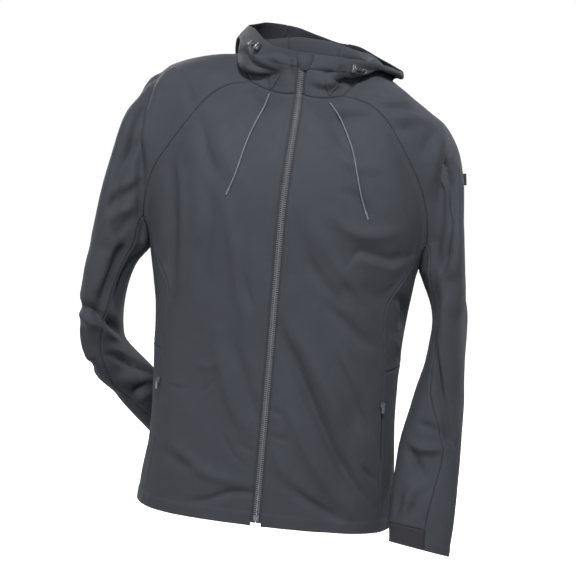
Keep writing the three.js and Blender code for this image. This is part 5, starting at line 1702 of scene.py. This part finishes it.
# A small bare tab of folded ribbon sewn to the outer line of the left sleeve.
tab = {"place": 0.665, "out": 5.2, "thick": 1.3, "tall": 19, "lean": 0.13}


def buildTab():
    seat, _ = seatOn("sleeve_left_outer", foldedSleeve(1, np.array(tab["place"]), np.array(1.0)))
    lean, far = tab["lean"], tab["out"]
    out = np.array([math.cos(lean), 0, math.sin(lean)])
    up = np.array([-math.sin(lean), 0, math.cos(lean)])
    rows = [(-1.4, 0.8), (0, 0.95), (far * 0.5, 1.05), (far - 0.8, 1.25), (far - 0.2, 0.8), (far, 0.3)]
    rows = [(x, tab["tall"], tab["thick"] * size, 0) for x, size in rows]
    points, faces = lofted(rows, 0.25, 6, (0, 2, 1))
    piece = many("sleeve_tab_ribbon", points, faces, [(seat, (out, np.cross(up, out), up))])
    settle(piece, "tape", nodes=["sleeve_tab"])


buildTab()


# A pale floor well below, and soft studio light.
studio = {
    "floor": -1150, "half": 12000, "glow": 0.92,
    "sky": [(0.0, (0.1, 0.1, 0.1)), (0.44, (0.1, 0.1, 0.1)), (0.455, (1, 1, 1)), (0.56, (1, 1, 1)),
            (0.64, (0.16, 0.16, 0.165)), (1.0, (0.1, 0.1, 0.105))],
    "lamps": [("key", (0.35, -2.1, 1.75), (0, 0, -0.35), 0.7, 104),
              ("fill", (-1.6, -2.9, 0.5), (0, 0, -0.4), 1.6, 38),
              ("back_left", (-1.8, 2.2, 1.2), (0, 0, -0.3), 1.2, 80),
              ("back_right", (1.8, 2.2, 1.2), (0, 0, -0.3), 1.2, 50)],
}


def softLight(name, spot, target, size, power):
    data = bpy.data.lights.new(name, "AREA")
    data.shape, data.size, data.energy = "DISK", size, power
    lamp = bpy.data.objects.new(name, data)
    lamp.location = spot
    lamp.rotation_euler = (Vector(target) - Vector(spot)).to_track_quat("-Z", "Y").to_euler()
    bpy.context.scene.collection.objects.link(lamp)


def buildStudio():
    half = studio["half"]
    corners = [(x * half, y * half, studio["floor"]) for x, y in ((-1, -1), (1, -1), (1, 1), (-1, 1))]
    floor = newObject("studio_floor", corners, [[0, 1, 2, 3]], sharp=0)
    finish = Finish("pale_floor", Roughness=0.9, Emission_Color=(1, 1, 1, 1), Emission_Strength=studio["glow"])
    finish.feed(Base_Color=finish.blend(finish.noise(3.0, 2.0), (0.6, 0.6, 0.61), (0.64, 0.64, 0.65)))
    floor.data.materials.append(finish.material)
    floor.visible_diffuse = False    # white to look at, without lighting the cloth from below
    floor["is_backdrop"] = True
    # pale round the horizon, dim overhead, so that the lamps shape the cloth
    world = bpy.data.worlds.new("studio")
    world.use_nodes = True
    around = Surround(world)
    towards = around.node("ShaderNodeTexCoord", {}, {}, "Generated")
    height = around.node("ShaderNodeSeparateXYZ", {}, {0: towards}, "Z")
    shade = around.node("ShaderNodeValToRGB", {"stops": studio["sky"]}, {0: height * 0.5 + 0.5})
    around.tree.links.new(shade.socket, world.node_tree.nodes["Background"].inputs["Color"])
    bpy.context.scene.world = world
    for lamp in studio["lamps"]:
        softLight(*lamp)


buildStudio()
bpy.context.scene.view_settings.view_transform = "Standard"

low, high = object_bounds()
